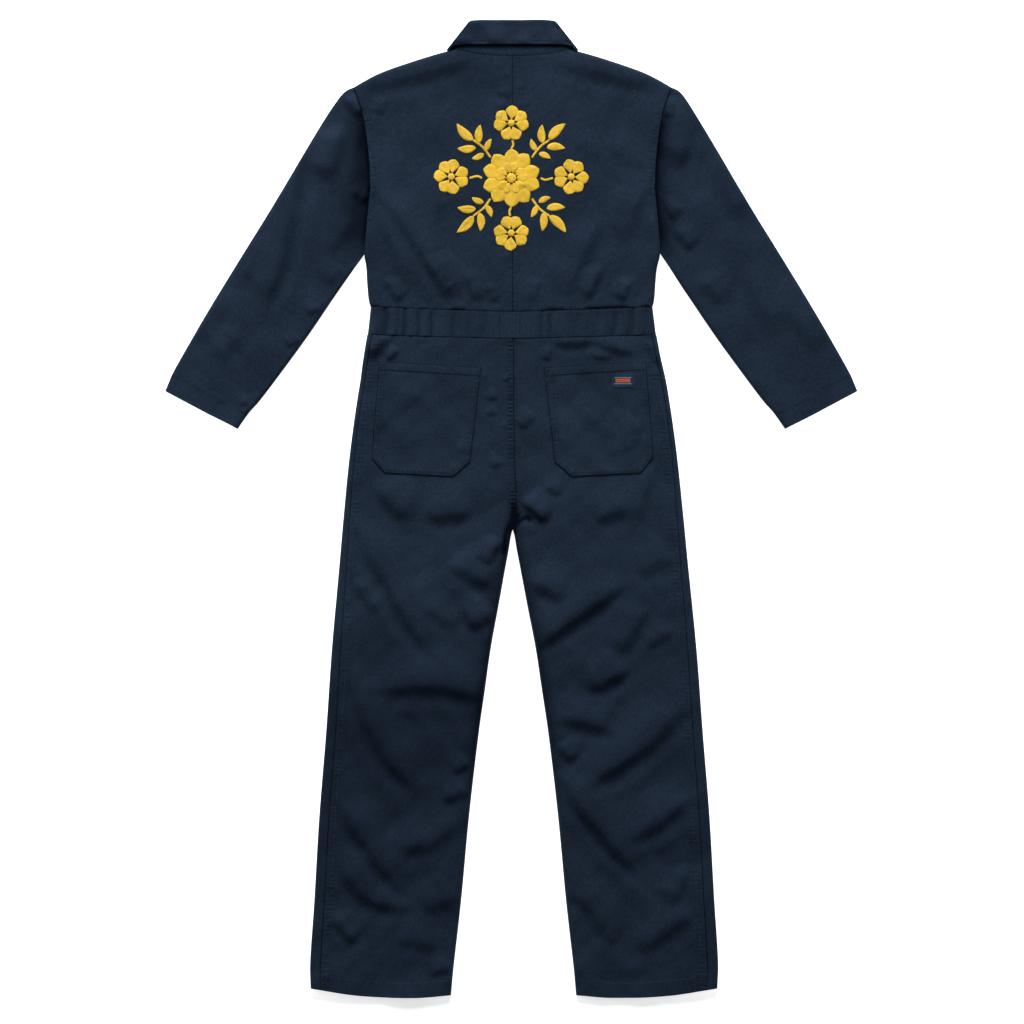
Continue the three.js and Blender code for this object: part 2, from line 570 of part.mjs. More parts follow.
function collarStand(name) {
  const seamLine = curve([[8, 669], [30, 673], [59, 686.5], [82.8, 716], [90.8, 752.6]]);
  const foldLine = curve([[10, 702], [37, 714], [55, 744], [65.5, 793]]);
  const front = (s, t) => [0, 1].map((k) => (1 - t) * seamLine(s)[k] + t * foldLine(s)[k]);
  const neck = curve([[91, 752.2], [43, 744.4], [0, 741]]);
  const crown = bentLine([[65.5, 793], [58, 795], [0, 795]]);
  const back = (s, t) => [0, 1].map((k) => (1 - t) * neck(s)[k] + t * crown(s)[k]);
  const heights = { low: lapHeight, high: () => standHeight };
  const rows = ringRows(front, back, { x: 0.9, y: 0.43, out: 3.4 }, heights, even(3));
  piece(name, tones.collar, cloth(rows, { flip: -1 }));
}
function collarLeaf(name) {
  const foldLine = curve(leafFold);
  const edgeLine = curve(leafEdge);
  const front = (s, t) => [0, 1].map((k) => (1 - t) * foldLine(s)[k] + t * edgeLine(s)[k]);
  const crown = bentLine([[70.5, 797], [0, 797]]);
  const edge = bentLine([[107, 750.5], [98, 757], [0, 757]]);
  const back = (s, t) => [0, 1].map((k) => (1 - t) * crown(s)[k] + t * edge(s)[k]);
  const turned = (t) => standHeight + 0.6 + (leafHeight - standHeight - 0.6) * fall(t * 40);
  const rows = ringRows(front, back, { x: 0.79, y: 0.61, out: 1 }, { low: 0, high: turned },
    [0, 0.02, 0.075, 0.15, 0.55, 1]);
  piece(name, tones.collar, cloth(rows, { flip: 1 }));
}

// Front closure, under everything else
function strip(name, tone, { half, top, foot: end }, z) {
  const rows = even(12).map((v) => [-1, 0, 1].map((u) => [u * half, top + (end - top) * v, z + wall]));
  piece(name, tone, cloth(rows, { flip: -1 }));
}

[[-1, "left"], [1, "right"]].forEach(([side, word]) => {
  upperBack(side, `back_${word}`);
  upperFront(side, `front_${word}`);
  sleeve(side, `sleeve_${word}`);
  waistbandFront(side, `waistband_front_${word}`);
  legBack(side, `leg_back_${word}`);
  legFront(side, `leg_front_${word}`);
  pocket(side, `pocket_${word}`);
});
waistband("waistband_back");
pocketLabel("pocket_label");
collarStand("collar_stand");
collarLeaf("collar_leaf");
strip("front_placket", tones.under, placket, 0);
strip("zip_tape", tones.zip, zip, lapHeight);

export default suit;
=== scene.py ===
import math

import bpy
import numpy as np
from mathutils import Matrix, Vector


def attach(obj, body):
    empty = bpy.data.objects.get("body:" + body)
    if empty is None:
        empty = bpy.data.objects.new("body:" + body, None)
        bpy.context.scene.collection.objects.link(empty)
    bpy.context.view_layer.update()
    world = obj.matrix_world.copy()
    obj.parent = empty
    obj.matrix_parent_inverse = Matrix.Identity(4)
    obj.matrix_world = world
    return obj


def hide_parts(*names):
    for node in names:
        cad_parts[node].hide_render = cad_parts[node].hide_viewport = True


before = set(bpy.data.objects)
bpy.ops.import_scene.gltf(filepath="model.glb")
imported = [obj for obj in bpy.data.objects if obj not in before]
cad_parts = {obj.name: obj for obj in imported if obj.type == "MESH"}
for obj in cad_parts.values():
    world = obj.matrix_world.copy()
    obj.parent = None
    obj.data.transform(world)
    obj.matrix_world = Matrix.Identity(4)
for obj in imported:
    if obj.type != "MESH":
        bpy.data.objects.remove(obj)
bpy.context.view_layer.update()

print("frame loaded,", len(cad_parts), "nodes")

# A boiler suit laid flat with its back up. Tables are in millimetres: x from the centre back seam,
# y towards the collar, z off the surface. Meshes are made in metres.
mm = 0.001


# The camera looks straight down at the laid-out suit
cameraSettings = {"x": -0.0008, "y": -0.0049, "height": 6.0, "viewWidth": 1.674, "clothTop": 0.009}


def makeCamera(s):
    data = bpy.data.cameras.new("camera")
    data.sensor_width = 36
    data.lens = data.sensor_width * (s["height"] - s["clothTop"]) / s["viewWidth"]
    camera = bpy.data.objects.new("camera", data)
    camera.location = (s["x"], s["y"], s["height"])
    bpy.context.scene.collection.objects.link(camera)
    bpy.context.scene.camera = camera


makeCamera(cameraSettings)
print("camera made")


# Soft studio light: a low even beam past the collar, panels at the collar and the sides
lightSettings = {
    "beam": {"elevation": 26, "turn": 0, "softness": 20, "strength": 3.05},
    # Columns: name, place, aim, size, watts
    "panels": [("collarPanel", (0, 2.05, 1.45), (0, 0.45, 0), (1.5, 0.7), 20),
               ("leftPanel", (-2.1, 0.6, 1.2), (-0.2, 0.2, 0), (0.7, 1.3), 19),
               ("rightPanel", (2.2, 0.2, 1.3), (0.2, 0.1, 0), (0.7, 1.3), 10.8)],
    "sky": {"colour": (0.9, 0.95, 1.0), "strength": 0.07},
}


def linkLight(name, data, place, aim):
    light = bpy.data.objects.new(name, data)
    light.location = place
    light.rotation_euler = (Vector(aim) - Vector(place)).to_track_quat("-Z", "Y").to_euler()
    light.visible_camera = False
    bpy.context.scene.collection.objects.link(light)


def makeLights(s):
    beam = bpy.data.lights.new("collarBeam", "SUN")
    beam.energy, beam.angle = s["beam"]["strength"], math.radians(s["beam"]["softness"])
    up, turn = math.radians(s["beam"]["elevation"]), math.radians(s["beam"]["turn"])
    way = (math.sin(turn) * math.cos(up), math.cos(turn) * math.cos(up), math.sin(up))
    linkLight("collarBeam", beam, [4 * c for c in way], (0, 0, 0))
    for name, place, aim, size, watts in s["panels"]:
        data = bpy.data.lights.new(name, "AREA")
        data.shape = "RECTANGLE"
        data.size, data.size_y = size
        data.energy = watts
        linkLight(name, data, place, aim)
    world = bpy.data.worlds.new("sky")
    world.use_nodes = True
    background = world.node_tree.nodes["Background"]
    background.inputs["Color"].default_value = (*s["sky"]["colour"], 1)
    background.inputs["Strength"].default_value = s["sky"]["strength"]
    bpy.context.scene.world = world
    bpy.context.scene.view_settings.view_transform = "Standard"


makeLights(lightSettings)
print("lights made")


# Lines and patches

def smoothStep(x, start, end):
    t = np.clip((x - start) / (end - start), 0, 1)
    return t * t * (3 - 2 * t)


def bell(x, wide):  # 1 in the middle, falling off softly to both sides
    return np.exp(-((x / wide) ** 2))


def tableValue(table, t):  # smooth curve through a table of two columns
    rows = np.array(sorted(table), float)
    xs, ys = rows[:, 0], rows[:, 1]
    last = len(xs) - 1
    t = np.clip(np.asarray(t, float), xs[0], xs[-1])
    k = np.clip(np.searchsorted(xs, t, side="right") - 1, 0, last - 1)

    def slopeAt(i):
        a, b = np.maximum(i - 1, 0), np.minimum(i + 1, last)
        return (ys[b] - ys[a]) / (xs[b] - xs[a])

    width = xs[k + 1] - xs[k]
    s = (t - xs[k]) / width
    rise = s * s * (3 - 2 * s)
    bend = width * s * (1 - s) * ((1 - s) * slopeAt(k) - s * slopeAt(k + 1))
    return ys[k] + (ys[k + 1] - ys[k]) * rise + bend


def runAlong(points):  # how far along its chain each point is
    return np.r_[0, np.cumsum(np.hypot(*np.diff(points, axis=0).T))]


def byLength(points):  # a function of the share of a chain's length, 0 to 1
    run = runAlong(points)
    run = run / run[-1]
    return lambda s: np.stack([np.interp(s, run, points[:, k]) for k in range(2)], -1)


def smoothPoints(points, steps=40):  # Catmull-Rom through the points
    p = np.array(points, float)
    ext = np.vstack([p[:1], p, p[-1:]])
    t = np.linspace(0, len(p) - 1, steps * (len(p) - 1) + 1)
    k = np.minimum(t.astype(int), len(p) - 2)
    w = (t - k)[:, None]
    before, a, b, after = ext[k], ext[k + 1], ext[k + 2], ext[k + 3]
    v0, v1 = (b - before) / 2, (after - a) / 2
    return (2 * a - 2 * b + v0 + v1) * w**3 + (3 * b - 3 * a - 2 * v0 - v1) * w**2 + v0 * w + a


def curve(points):
    return byLength(smoothPoints(points))


def bentLine(points):
    return byLength(np.array(points, float))


def joinedLines(first, share, second):
    def at(s):
        s = np.asarray(s, float)[..., None]
        return np.where(s < share, first(s[..., 0] / share), second((s[..., 0] - share) / (1 - share)))
    return at


def patch(top, bottom, inner, outer):  # a four-sided patch filled in between its edges
    corners = [top(0.0), top(1.0), bottom(0.0), bottom(1.0)]

    def at(u, v):
        u, v = np.broadcast_arrays(np.asarray(u, float), np.asarray(v, float))
        a, b = u[..., None], v[..., None]
        edges = (1 - b) * top(u) + b * bottom(u) + (1 - a) * inner(v) + a * outer(v)
        ends = (1 - b) * ((1 - a) * corners[0] + a * corners[1]) + b * ((1 - a) * corners[2] + a * corners[3])
        return edges - ends
    return at


def nearestOn(chain, x, y):
    # For points: distance to a chain, how far along it the nearest place is, and the side, 1 to its right
    best, run, side = np.full(x.shape, np.inf), np.zeros(x.shape), np.zeros(x.shape)
    done = 0.0
    for (ax, ay), (bx, by) in zip(chain[:-1], chain[1:]):
        length = math.hypot(bx - ax, by - ay)
        dx, dy = (bx - ax) / length, (by - ay) / length
        t = np.clip((x - ax) * dx + (y - ay) * dy, 0, length)
        ox, oy = x - ax - t * dx, y - ay - t * dy
        away = np.hypot(ox, oy)
        closer = away < best
        best, run = np.where(closer, away, best), np.where(closer, done + t, run)
        side = np.where(closer, np.sign(ox * dy - oy * dx), side)
        done += length
    return best, run, side


def nearLine(chain, x, y):
    return nearestOn(chain, x, y)[:2]


def chainOf(line, count=40):
    return line(np.linspace(0, 1, count + 1))


def shareRows(lengths, middle, near, far):  # shares across each row, close together at both ends
    lengths = np.asarray(lengths, float)[:, None]
    start, end = np.array(near)[None] / lengths, 1 - np.array(far)[::-1][None] / lengths
    t = (np.arange(middle) + 1) / (middle + 1)
    between = start[:, -1:] + (end[:, :1] - start[:, -1:]) * t[None]
    return np.hstack([start, between, end])


# Folds and rumples

# The profile across a fold, in shares of its reach. The crest lies on the collar's side of the line, with
# a long slope above it, and a shallow trough lies on the hems' side
crease = {"wide": 1.12, "height": 2.8, "steep": 1.4, "taper": 0.34, "tip": 0.6, "crest": -0.6,
          "above": 1.8, "end": (2.2, 3.4), "trough": 0.3, "troughAt": 0.7, "troughWide": 0.8}
foldSpan = 4.5  # a fold is felt this many reaches away at most


def foldsAt(folds, x, y, scale=1.0):
    # A fold is a line where the cloth falls away towards the hem.
    # Columns: points of the line, reach to each side, height
    total = np.zeros(x.shape)
    for points, reach, height in folds:
        chain = smoothPoints(points, 8)
        low, high = chain.min(0) - foldSpan * reach, chain.max(0) + foldSpan * reach
        near = (x > low[0]) & (x < high[0]) & (y > low[1]) & (y < high[1])
        if not near.any():
            continue
        best, run, side = nearestOn(chain, x[near], y[near])
        hemward = side if chain[-1][0] > chain[0][0] else -side
        lean = abs(chain[-1][0] - chain[0][0]) / math.hypot(*(chain[-1] - chain[0]))
        full = scale * crease["height"] * height * min(1 / max(lean, 0.1), crease["steep"])
        length = runAlong(chain)[-1]
        taper = length * crease["taper"]
        fade = smoothStep(run, 0, taper) * (1 - smoothStep(run, length - taper, length))
        s = hemward * best / (crease["wide"] * reach * (crease["tip"] + (1 - crease["tip"]) * fade))
        u = s - crease["crest"]
        ridge = np.where(u < 0, bell(u, crease["above"]), 1 / (1 + u * u))
        ridge *= 1 - smoothStep(np.abs(u), *crease["end"])
        trough = crease["trough"] * bell(s - crease["troughAt"], crease["troughWide"])
        total[near] += full * fade * (ridge - trough)
    return total


def rumple(x, y, seed, bands):  # soft uneven cloth. Columns of bands: wavelength, height, stretch along y
    random = np.random.default_rng(seed)
    px = x + 9 * np.sin(y / 61 + seed) + 4 * np.sin(y / 23 + 2 * seed)
    py = y + 9 * np.sin(x / 53 + 3 * seed) + 4 * np.sin(x / 29 + seed)
    total = np.zeros(x.shape)
    for wavelength, height, stretch in bands:
        for _ in range(7):
            angle, phase = random.uniform(0, math.pi), random.uniform(0, 2 * math.pi)
            k = 2 * math.pi / (wavelength * random.uniform(0.7, 1.5))
            total += height / 2 * np.sin(k * (px * math.cos(angle) + py * math.sin(angle) / stretch) + phase)
    return total


def ripple(run, pitch, seed):  # puckers along a seam, uneven in size and spacing
    random = np.random.default_rng(seed)
    total = np.zeros(run.shape)
    for factor, share in ((1, 0.6), (0.63, 0.45), (1.47, 0.35), (2.6, 0.3)):
        total += share * np.sin(2 * math.pi * run / (pitch * factor) + random.uniform(0, 6.28))
    return total * (0.65 + 0.5 * np.sin(run / (pitch * 7.3) + random.uniform(0, 6.28)))


rowWidth, narrowRow = 0.9, 0.8  # how wide a row of stitches sinks in, the narrow one on seat and pockets


def seamRelief(away, run, s, seed):
    # The edge dips into the seam, the layers beside it stand up, and each row of stitches sinks in
    z = -s["dip"] * np.exp(-away / s["round"])
    if "band" in s:
        z = z + s["raise"] * (1 - smoothStep(away, s["band"] - 1.2, s["band"] + 1.6))
    for row in s["rows"]:
        z = z - s["sink"] * bell(away - row, rowWidth)
    if s["pucker"]:
        middle = s["rows"][-1] if s["rows"] else 0
        z = z + s["pucker"] * ripple(run, s["pitch"], seed) * bell(away - middle, s["reach"])
    return z


def pullAt(*seams):
    # How strongly seams pull the cloth into puckers, and the run along the seam that pulls most there.
    # Each seam: distance, run, middle of the puckers, reach, strength
    pull, run = np.zeros(seams[0][0].shape), np.zeros(seams[0][0].shape)
    for away, along, middle, reach, strength in seams:
        uneven = 0.6 + 0.4 * np.sin(along / 19 + 2 * np.sin(along / 43))
        here = strength * uneven * bell(away - middle, reach)
        run = np.where(here > pull, along, run)
        pull = np.maximum(pull, here)
    return pull, run


def seamShade(away, rows=(), deep=0.85, wide=0.9, rowDeep=0.22):
    # Painted shade in a seam and its stitch rows, as far as they are closed in
    shade = deep * bell(away, wide)
    for row in rows:
        shade = np.maximum(shade, rowDeep * bell(away - row, rowWidth))
    return shade


# Meshes

def shellPoints(grid, flip=1, thick=1.2, free=None, straightDown=False):
    # Outer points and, one wall inwards, inner ones. Sewn edges stay upright; free gives, for a side,
    # the share of its slope that a turned-down edge keeps.
    free = free or {}
    padRow = lambda g, axis, ahead: np.take(
        g, np.clip(np.arange(g.shape[axis]) + ahead, 0, g.shape[axis] - 1), axis)
    du = padRow(grid, 1, 1) - padRow(grid, 1, -1)
    dv = padRow(grid, 0, 1) - padRow(grid, 0, -1)
    lean = np.cross(du, dv)
    lean *= -flip / np.maximum(np.linalg.norm(lean, axis=-1, keepdims=True), 1e-9)
    if straightDown:
        lean = np.zeros_like(lean) + np.array([0, 0, np.sign(lean[..., 2].mean())])
    sides = {"start": (np.s_[:, 0], dv), "end": (np.s_[:, -1], dv),
             "top": (np.s_[0], du), "bottom": (np.s_[-1], du)}
    for name, (where, alongEdge) in sides.items():
        across = np.stack([alongEdge[where][:, 1], -alongEdge[where][:, 0], 0 * alongEdge[where][:, 0]], -1)
        across /= np.maximum(np.linalg.norm(across, axis=-1, keepdims=True), 1e-9)
        share = np.asarray(free.get(name, 0.0)) * np.ones(len(across))
        slope = (lean[where] * across).sum(-1) * (1 - share)
        lean[where] -= across * slope[:, None]
    lean /= np.maximum(np.linalg.norm(lean, axis=-1, keepdims=True), 1e-9)
    return grid, grid + thick * lean


def closedShell(outer, inner):  # points and quads of a closed wall between two grids
    m, n = outer.shape[:2]
    ids = np.arange(m * n).reshape(m, n)
    ring = np.stack([ids[:-1, :-1], ids[:-1, 1:], ids[1:, 1:], ids[1:, :-1]], -1).reshape(-1, 4)
    edge = np.r_[
        np.stack([ids[0, 1:], ids[0, :-1]], -1), np.stack([ids[:-1, 0], ids[1:, 0]], -1),
        np.stack([ids[-1, :-1], ids[-1, 1:]], -1), np.stack([ids[1:, -1], ids[:-1, -1]], -1)]
    rim = np.stack([edge[:, 0], edge[:, 1], edge[:, 1] + m * n, edge[:, 0] + m * n], -1)
    points = np.vstack([outer.reshape(-1, 3), inner.reshape(-1, 3)])
    quads = np.vstack([ring, ring[:, ::-1] + m * n, rim])
    a, b, c, d = (points[quads[:, k]] for k in range(4))
    volume = (a * (np.cross(b, c) + np.cross(c, d))).sum()
    return points, quads if volume > 0 else quads[:, ::-1]


def joinParts(parts):  # one set of points and quads from many
    points, quads, count = [], [], 0
    for p, q in parts:
        points.append(p)
        quads.append(q + count)
        count += len(p)
    return np.vstack(points), np.vstack(quads)


def meshObject(name, points, quads, material, nodes=(), marks=None, sharp=50):
    mesh = bpy.data.meshes.new(name)
    mesh.from_pydata((points * mm).tolist(), [], quads.tolist())
    mesh.polygons.foreach_set("use_smooth", np.ones(len(mesh.polygons), bool))
    mesh.set_sharp_from_angle(angle=math.radians(sharp))
    for key, values in (marks or {}).items():
        mesh.attributes.new(key, "FLOAT", "POINT").data.foreach_set("value", values.astype(np.float32))
    mesh.materials.append(material)
    mesh.update()
    piece = bpy.data.objects.new(name, mesh)
    bpy.context.scene.collection.objects.link(piece)
    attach(piece, "root")
    if nodes:
        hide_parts(*nodes)
    return piece


def clothPiece(name, node, grid, material, cut, restsOn, slotName="twill", shade=None, pull=None,
               **wallOptions):
    outer, inner = shellPoints(grid, **wallOptions)
    points, quads = closedShell(outer, inner)
    marks = {}
    # shade is painted shade, which the material mixes in as a darker colour
    if shade is not None:
        marks["paintedShade"] = np.r_[shade.ravel(), shade.ravel()]
    if pull is not None:
        marks["pull"] = np.r_[pull[0].ravel(), pull[0].ravel()]
        marks["seamRun"] = np.r_[pull[1].ravel(), pull[1].ravel()] * mm
    piece = meshObject(name, points, quads, material, (node,), marks)


# Materials

def materialNodes(name):
    material = bpy.data.materials.new(name)
    material.use_nodes = True
    tree = material.node_tree
    return material, tree, tree.nodes["Principled BSDF"]


def addNode(tree, kind, values=None, **settings):
    node = tree.nodes.new(kind)
    for key, value in settings.items():
        setattr(node, key, value)
    for key, value in (values or {}).items():
        node.inputs[key].default_value = value
    return node


def wire(tree, *links):  # joins nodes. Each link: from node, its output, to node, its input
    for start, output, end, entry in links:
        tree.links.new(start.outputs[output], end.inputs[entry])


def weigh(tree, a, b, share):  # two textures' greys mixed
    mix = addNode(tree, "ShaderNodeMix", {"Factor": share})
    tree.links.new(a, mix.inputs["A"])
    tree.links.new(b, mix.inputs["B"])
    return mix.outputs["Result"]


def colourRamp(tree, first, second, positions=(0, 1)):
    ramp = addNode(tree, "ShaderNodeValToRGB")
    for element, colour, position in zip(ramp.color_ramp.elements, (first, second), positions):
        element.position, element.color = position, (*colour, 1)
    return ramp


def setSurface(shader, **values):  # numbers that are the same all over
    for key, value in values.items():
        shader.inputs[socketNames[key]].default_value = value


socketNames = {"roughness": "Roughness", "gloss": "Specular IOR Level", "glossTint": "Specular Tint",
               "sheen": "Sheen Weight", "sheenRoughness": "Sheen Roughness", "sheenTint": "Sheen Tint",
               "colour": "Base Color", "glow": "Emission Color"}


twillSettings = {
    "light": (0.0195, 0.0327, 0.0563), "dark": (0.0076, 0.0131, 0.0236), "dyeSpread": (0.36, 0.64),
    # the colour that painted shade darkens the dye towards
    "paintedShade": (0.0004, 0.0012, 0.0034),
    "roughness": 0.8, "gloss": 0.06, "sheen": 0.035, "sheenRoughness": 0.45, "sheenTint": (0.45, 0.62, 1.0),
    # Textures' scales, and how much grit and ribs show in the dye
    "ribs": 330.0, "slubs": 620.0, "cloud": 9.0, "grit": 280.0, "gritShare": 0.62, "ribShare": 0.18,
    "ribBump": 0.32, "ribHeight": 0.0001, "slubBump": 0.22, "slubHeight": 0.00015, "ribTurn": -63,
    # Puckers along the seams, and the painted shade between them
    "puckers": 110.0, "rungs": 46.0, "rungShare": 0.16, "puckerSpread": 0.003, "puckerBump": 0.9,
    "puckerHeight": 0.0016, "puckerShade": 0.3,
}


def twillMaterial(name, grain, s):
    # Navy twill: fine diagonal ribs across the grain, uneven dye, a soft nap, and painted shade that darkens
    # it in closed folds, seams and creases
    material, tree, shader = materialNodes(name)
    place = addNode(tree, "ShaderNodeTexCoord")
    turned = addNode(tree, "ShaderNodeMapping", {"Rotation": (0, 0, math.radians(grain + s["ribTurn"]))})
    ribs = addNode(tree, "ShaderNodeTexWave", {"Scale": s["ribs"], "Distortion": 1.2, "Detail": 2.0,
                                               "Detail Scale": 3.0}, bands_direction="X")
    slubs = addNode(tree, "ShaderNodeTexNoise", {"Scale": s["slubs"], "Detail": 3.0, "Roughness": 0.6})
    cloud = addNode(tree, "ShaderNodeTexNoise", {"Scale": s["cloud"], "Detail": 4.0, "Roughness": 0.55})
    grit = addNode(tree, "ShaderNodeTexNoise", {"Scale": s["grit"], "Detail": 4.0, "Roughness": 0.7})
    wire(tree, (place, "Object", turned, "Vector"))
    wire(tree, *((turned, "Vector", texture, "Vector") for texture in (ribs, slubs, cloud, grit)))
    patchy = weigh(tree, cloud.outputs["Fac"], grit.outputs["Fac"], s["gritShare"])
    patchy = weigh(tree, patchy, ribs.outputs["Fac"], s["ribShare"])
    dye = colourRamp(tree, s["dark"], s["light"], s["dyeSpread"])
    tree.links.new(patchy, dye.inputs["Fac"])
    raised, paintedPuckerShade = pullNodes(tree, s)
    # painted shade from each piece, with the painted shade between puckers, darkens the dye
    paintedShade = addNode(tree, "ShaderNodeAttribute", attribute_name="paintedShade")
    shadeSum = addNode(tree, "ShaderNodeMath", {1: s["puckerShade"]}, operation="MULTIPLY_ADD",
                       use_clamp=True)
    # the dye mixed towards the painted shade's colour
    closed = addNode(tree, "ShaderNodeMix", data_type="RGBA")
    closed.inputs["B"].default_value = (*s["paintedShade"], 1)
    weave = addNode(tree, "ShaderNodeBump", {"Strength": s["ribBump"], "Distance": s["ribHeight"]})
    slub = addNode(tree, "ShaderNodeBump", {"Strength": s["slubBump"], "Distance": s["slubHeight"]})
    gather = addNode(tree, "ShaderNodeBump", {"Strength": s["puckerBump"], "Distance": s["puckerHeight"]})
    wire(tree, (paintedPuckerShade, "Value", shadeSum, 0), (paintedShade, "Fac", shadeSum, 2),
         (shadeSum, "Value", closed, "Factor"), (dye, "Color", closed, "A"),
         (closed, "Result", shader, "Base Color"),
         (ribs, "Fac", weave, "Height"), (slubs, "Fac", slub, "Height"), (weave, "Normal", slub, "Normal"),
         (raised, "Value", gather, "Height"), (slub, "Normal", gather, "Normal"),
         (gather, "Normal", shader, "Normal"))
    tint = (*s["sheenTint"], 1)
    setSurface(shader, roughness=s["roughness"], gloss=s["gloss"], glossTint=tint, sheen=s["sheen"],
               sheenRoughness=s["sheenRoughness"], sheenTint=tint)
    return material


def pullNodes(tree, s):
    # Puckers where seams pull the cloth: small ridges across the seam, and painted shade between them
    run = addNode(tree, "ShaderNodeAttribute", attribute_name="seamRun")
    pull = addNode(tree, "ShaderNodeAttribute", attribute_name="pull")
    spread = addNode(tree, "ShaderNodeMath", {1: s["puckerSpread"]}, operation="MULTIPLY")
    along = addNode(tree, "ShaderNodeCombineXYZ")
    puckers = addNode(tree, "ShaderNodeTexNoise", {"Scale": s["puckers"], "Detail": 2.0, "Roughness": 0.6})
    rungs = addNode(tree, "ShaderNodeTexWave", {"Scale": s["rungs"], "Distortion": 3.0, "Detail": 2.0,
                                                "Detail Scale": 1.5}, bands_direction="X")
    high = addNode(tree, "ShaderNodeMapRange", {"From Min": 0.3, "From Max": 0.7})
    low = addNode(tree, "ShaderNodeMapRange", {"From Min": 0.3, "From Max": 0.54, "To Min": 1.0,
                                               "To Max": 0.0})
    raised = addNode(tree, "ShaderNodeMath", operation="MULTIPLY")
    paintedPuckerShade = addNode(tree, "ShaderNodeMath", operation="MULTIPLY")
    wire(tree, (run, "Fac", along, "X"), (pull, "Fac", spread, 0), (spread, "Value", along, "Y"),
         (along, "Vector", puckers, "Vector"), (along, "Vector", rungs, "Vector"))
    uneven = weigh(tree, puckers.outputs["Fac"], rungs.outputs["Fac"], s["rungShare"])
    for level, pulled in ((high, raised), (low, paintedPuckerShade)):
        tree.links.new(uneven, level.inputs["Value"])
        wire(tree, (level, "Result", pulled, 0), (pull, "Fac", pulled, 1))
    return raised, paintedPuckerShade


threadSettings = {
    # colour and second are the lighter and darker ends of each thread's tone: painted highlight and painted
    # shade across the threads, mixed with uneven tone
    "navy": {"colour": (0.0240, 0.0410, 0.0700), "second": (0.0110, 0.0195, 0.0350), "roughness": 0.7,
             "gloss": 0.1, "sheen": 0.0, "twist": 900.0, "bump": 0.25},
    "gold": {"colour": (0.97, 0.62, 0.040), "second": (0.60, 0.36, 0.020), "roughness": 0.45, "gloss": 0.3,
             "sheen": 0.1, "twist": 520.0, "bump": 0.6},
    "orange": {"colour": (0.42, 0.095, 0.03), "second": (0.28, 0.05, 0.018), "roughness": 0.6, "gloss": 0.2,
               "sheen": 0.0, "twist": 420.0, "bump": 0.5},
    "pale": {"colour": (0.17, 0.20, 0.27), "second": (0.09, 0.11, 0.17), "roughness": 0.6, "gloss": 0.2,
             "sheen": 0.0, "twist": 420.0, "bump": 0.5},
}


def threadMaterial(name, s):
    # Laid threads: fine lines across each stitched shape, along the mesh's own u, lighter along each thread
    # and darker between as painted highlight and painted shade, with uneven tone
    material, tree, shader = materialNodes(name)
    place = addNode(tree, "ShaderNodeUVMap", uv_map="threads")
    lines = addNode(tree, "ShaderNodeTexWave", {"Scale": s["twist"], "Distortion": 0.8, "Detail": 2.0},
                    bands_direction="X")
    where = addNode(tree, "ShaderNodeTexCoord")
    uneven = addNode(tree, "ShaderNodeTexNoise", {"Scale": 260.0, "Detail": 3.0})
    tone = colourRamp(tree, s["second"], s["colour"], (0.2, 0.66))
    bump = addNode(tree, "ShaderNodeBump", {"Strength": s["bump"], "Distance": 0.0002})
    wire(tree, (where, "Object", uneven, "Vector"), (place, "UV", lines, "Vector"))
    tree.links.new(weigh(tree, lines.outputs["Fac"], uneven.outputs["Fac"], 0.45), tone.inputs["Fac"])
    wire(tree, (tone, "Color", shader, "Base Color"), (lines, "Fac", bump, "Height"),
         (bump, "Normal", shader, "Normal"))
    setSurface(shader, roughness=s["roughness"], gloss=s["gloss"], sheen=s["sheen"])
    return material


tapeSettings = {"colour": (0.011, 0.014, 0.02), "ribs": 500.0, "bump": 0.5, "roughness": 0.7}
patchSettings = {"dark": (0.007, 0.016, 0.040), "light": (0.016, 0.032, 0.075), "ribs": 420.0, "bump": 0.4,
                 "roughness": 0.6, "gloss": 0.1}


def ribbedMaterial(name, s, distortion, direction):  # a closely woven ground. Gives its ribs as well
    material, tree, shader = materialNodes(name)
    place = addNode(tree, "ShaderNodeTexCoord")
    ribs = addNode(tree, "ShaderNodeTexWave", {"Scale": s["ribs"], "Distortion": distortion},
                   bands_direction=direction)
    bump = addNode(tree, "ShaderNodeBump", {"Strength": s["bump"], "Distance": 0.0001})
    wire(tree, (place, "Object", ribs, "Vector"), (ribs, "Fac", bump, "Height"),
         (bump, "Normal", shader, "Normal"))
    setSurface(shader, roughness=s["roughness"])
    return material, tree, shader, ribs


def tapeMaterial(s):
    material, _, shader, _ = ribbedMaterial("zipTapeWeave", s, 0.3, "Y")
    setSurface(shader, colour=(*s["colour"], 1))
    return material


def patchMaterial(s):  # damask ground of the small woven patch
    material, tree, shader, ribs = ribbedMaterial("wovenGround", s, 0.5, "DIAGONAL")
    tone = colourRamp(tree, s["dark"], s["light"])
    wire(tree, (ribs, "Fac", tone, "Fac"), (tone, "Color", shader, "Base Color"))
    setSurface(shader, gloss=s["gloss"])
    return material


twillBody = twillMaterial("navyTwillBody", 0, twillSettings)
twillAcross = twillMaterial("navyTwillAcross", 90, twillSettings)
twillSleeve = {-1: twillMaterial("navyTwillSleeveLeft", -32, twillSettings),
               1: twillMaterial("navyTwillSleeveRight", 32, twillSettings)}
navyThread, goldThread, orangeThread, paleThread = (
    threadMaterial(colour + "Thread", s) for colour, s in threadSettings.items())
print("materials made")


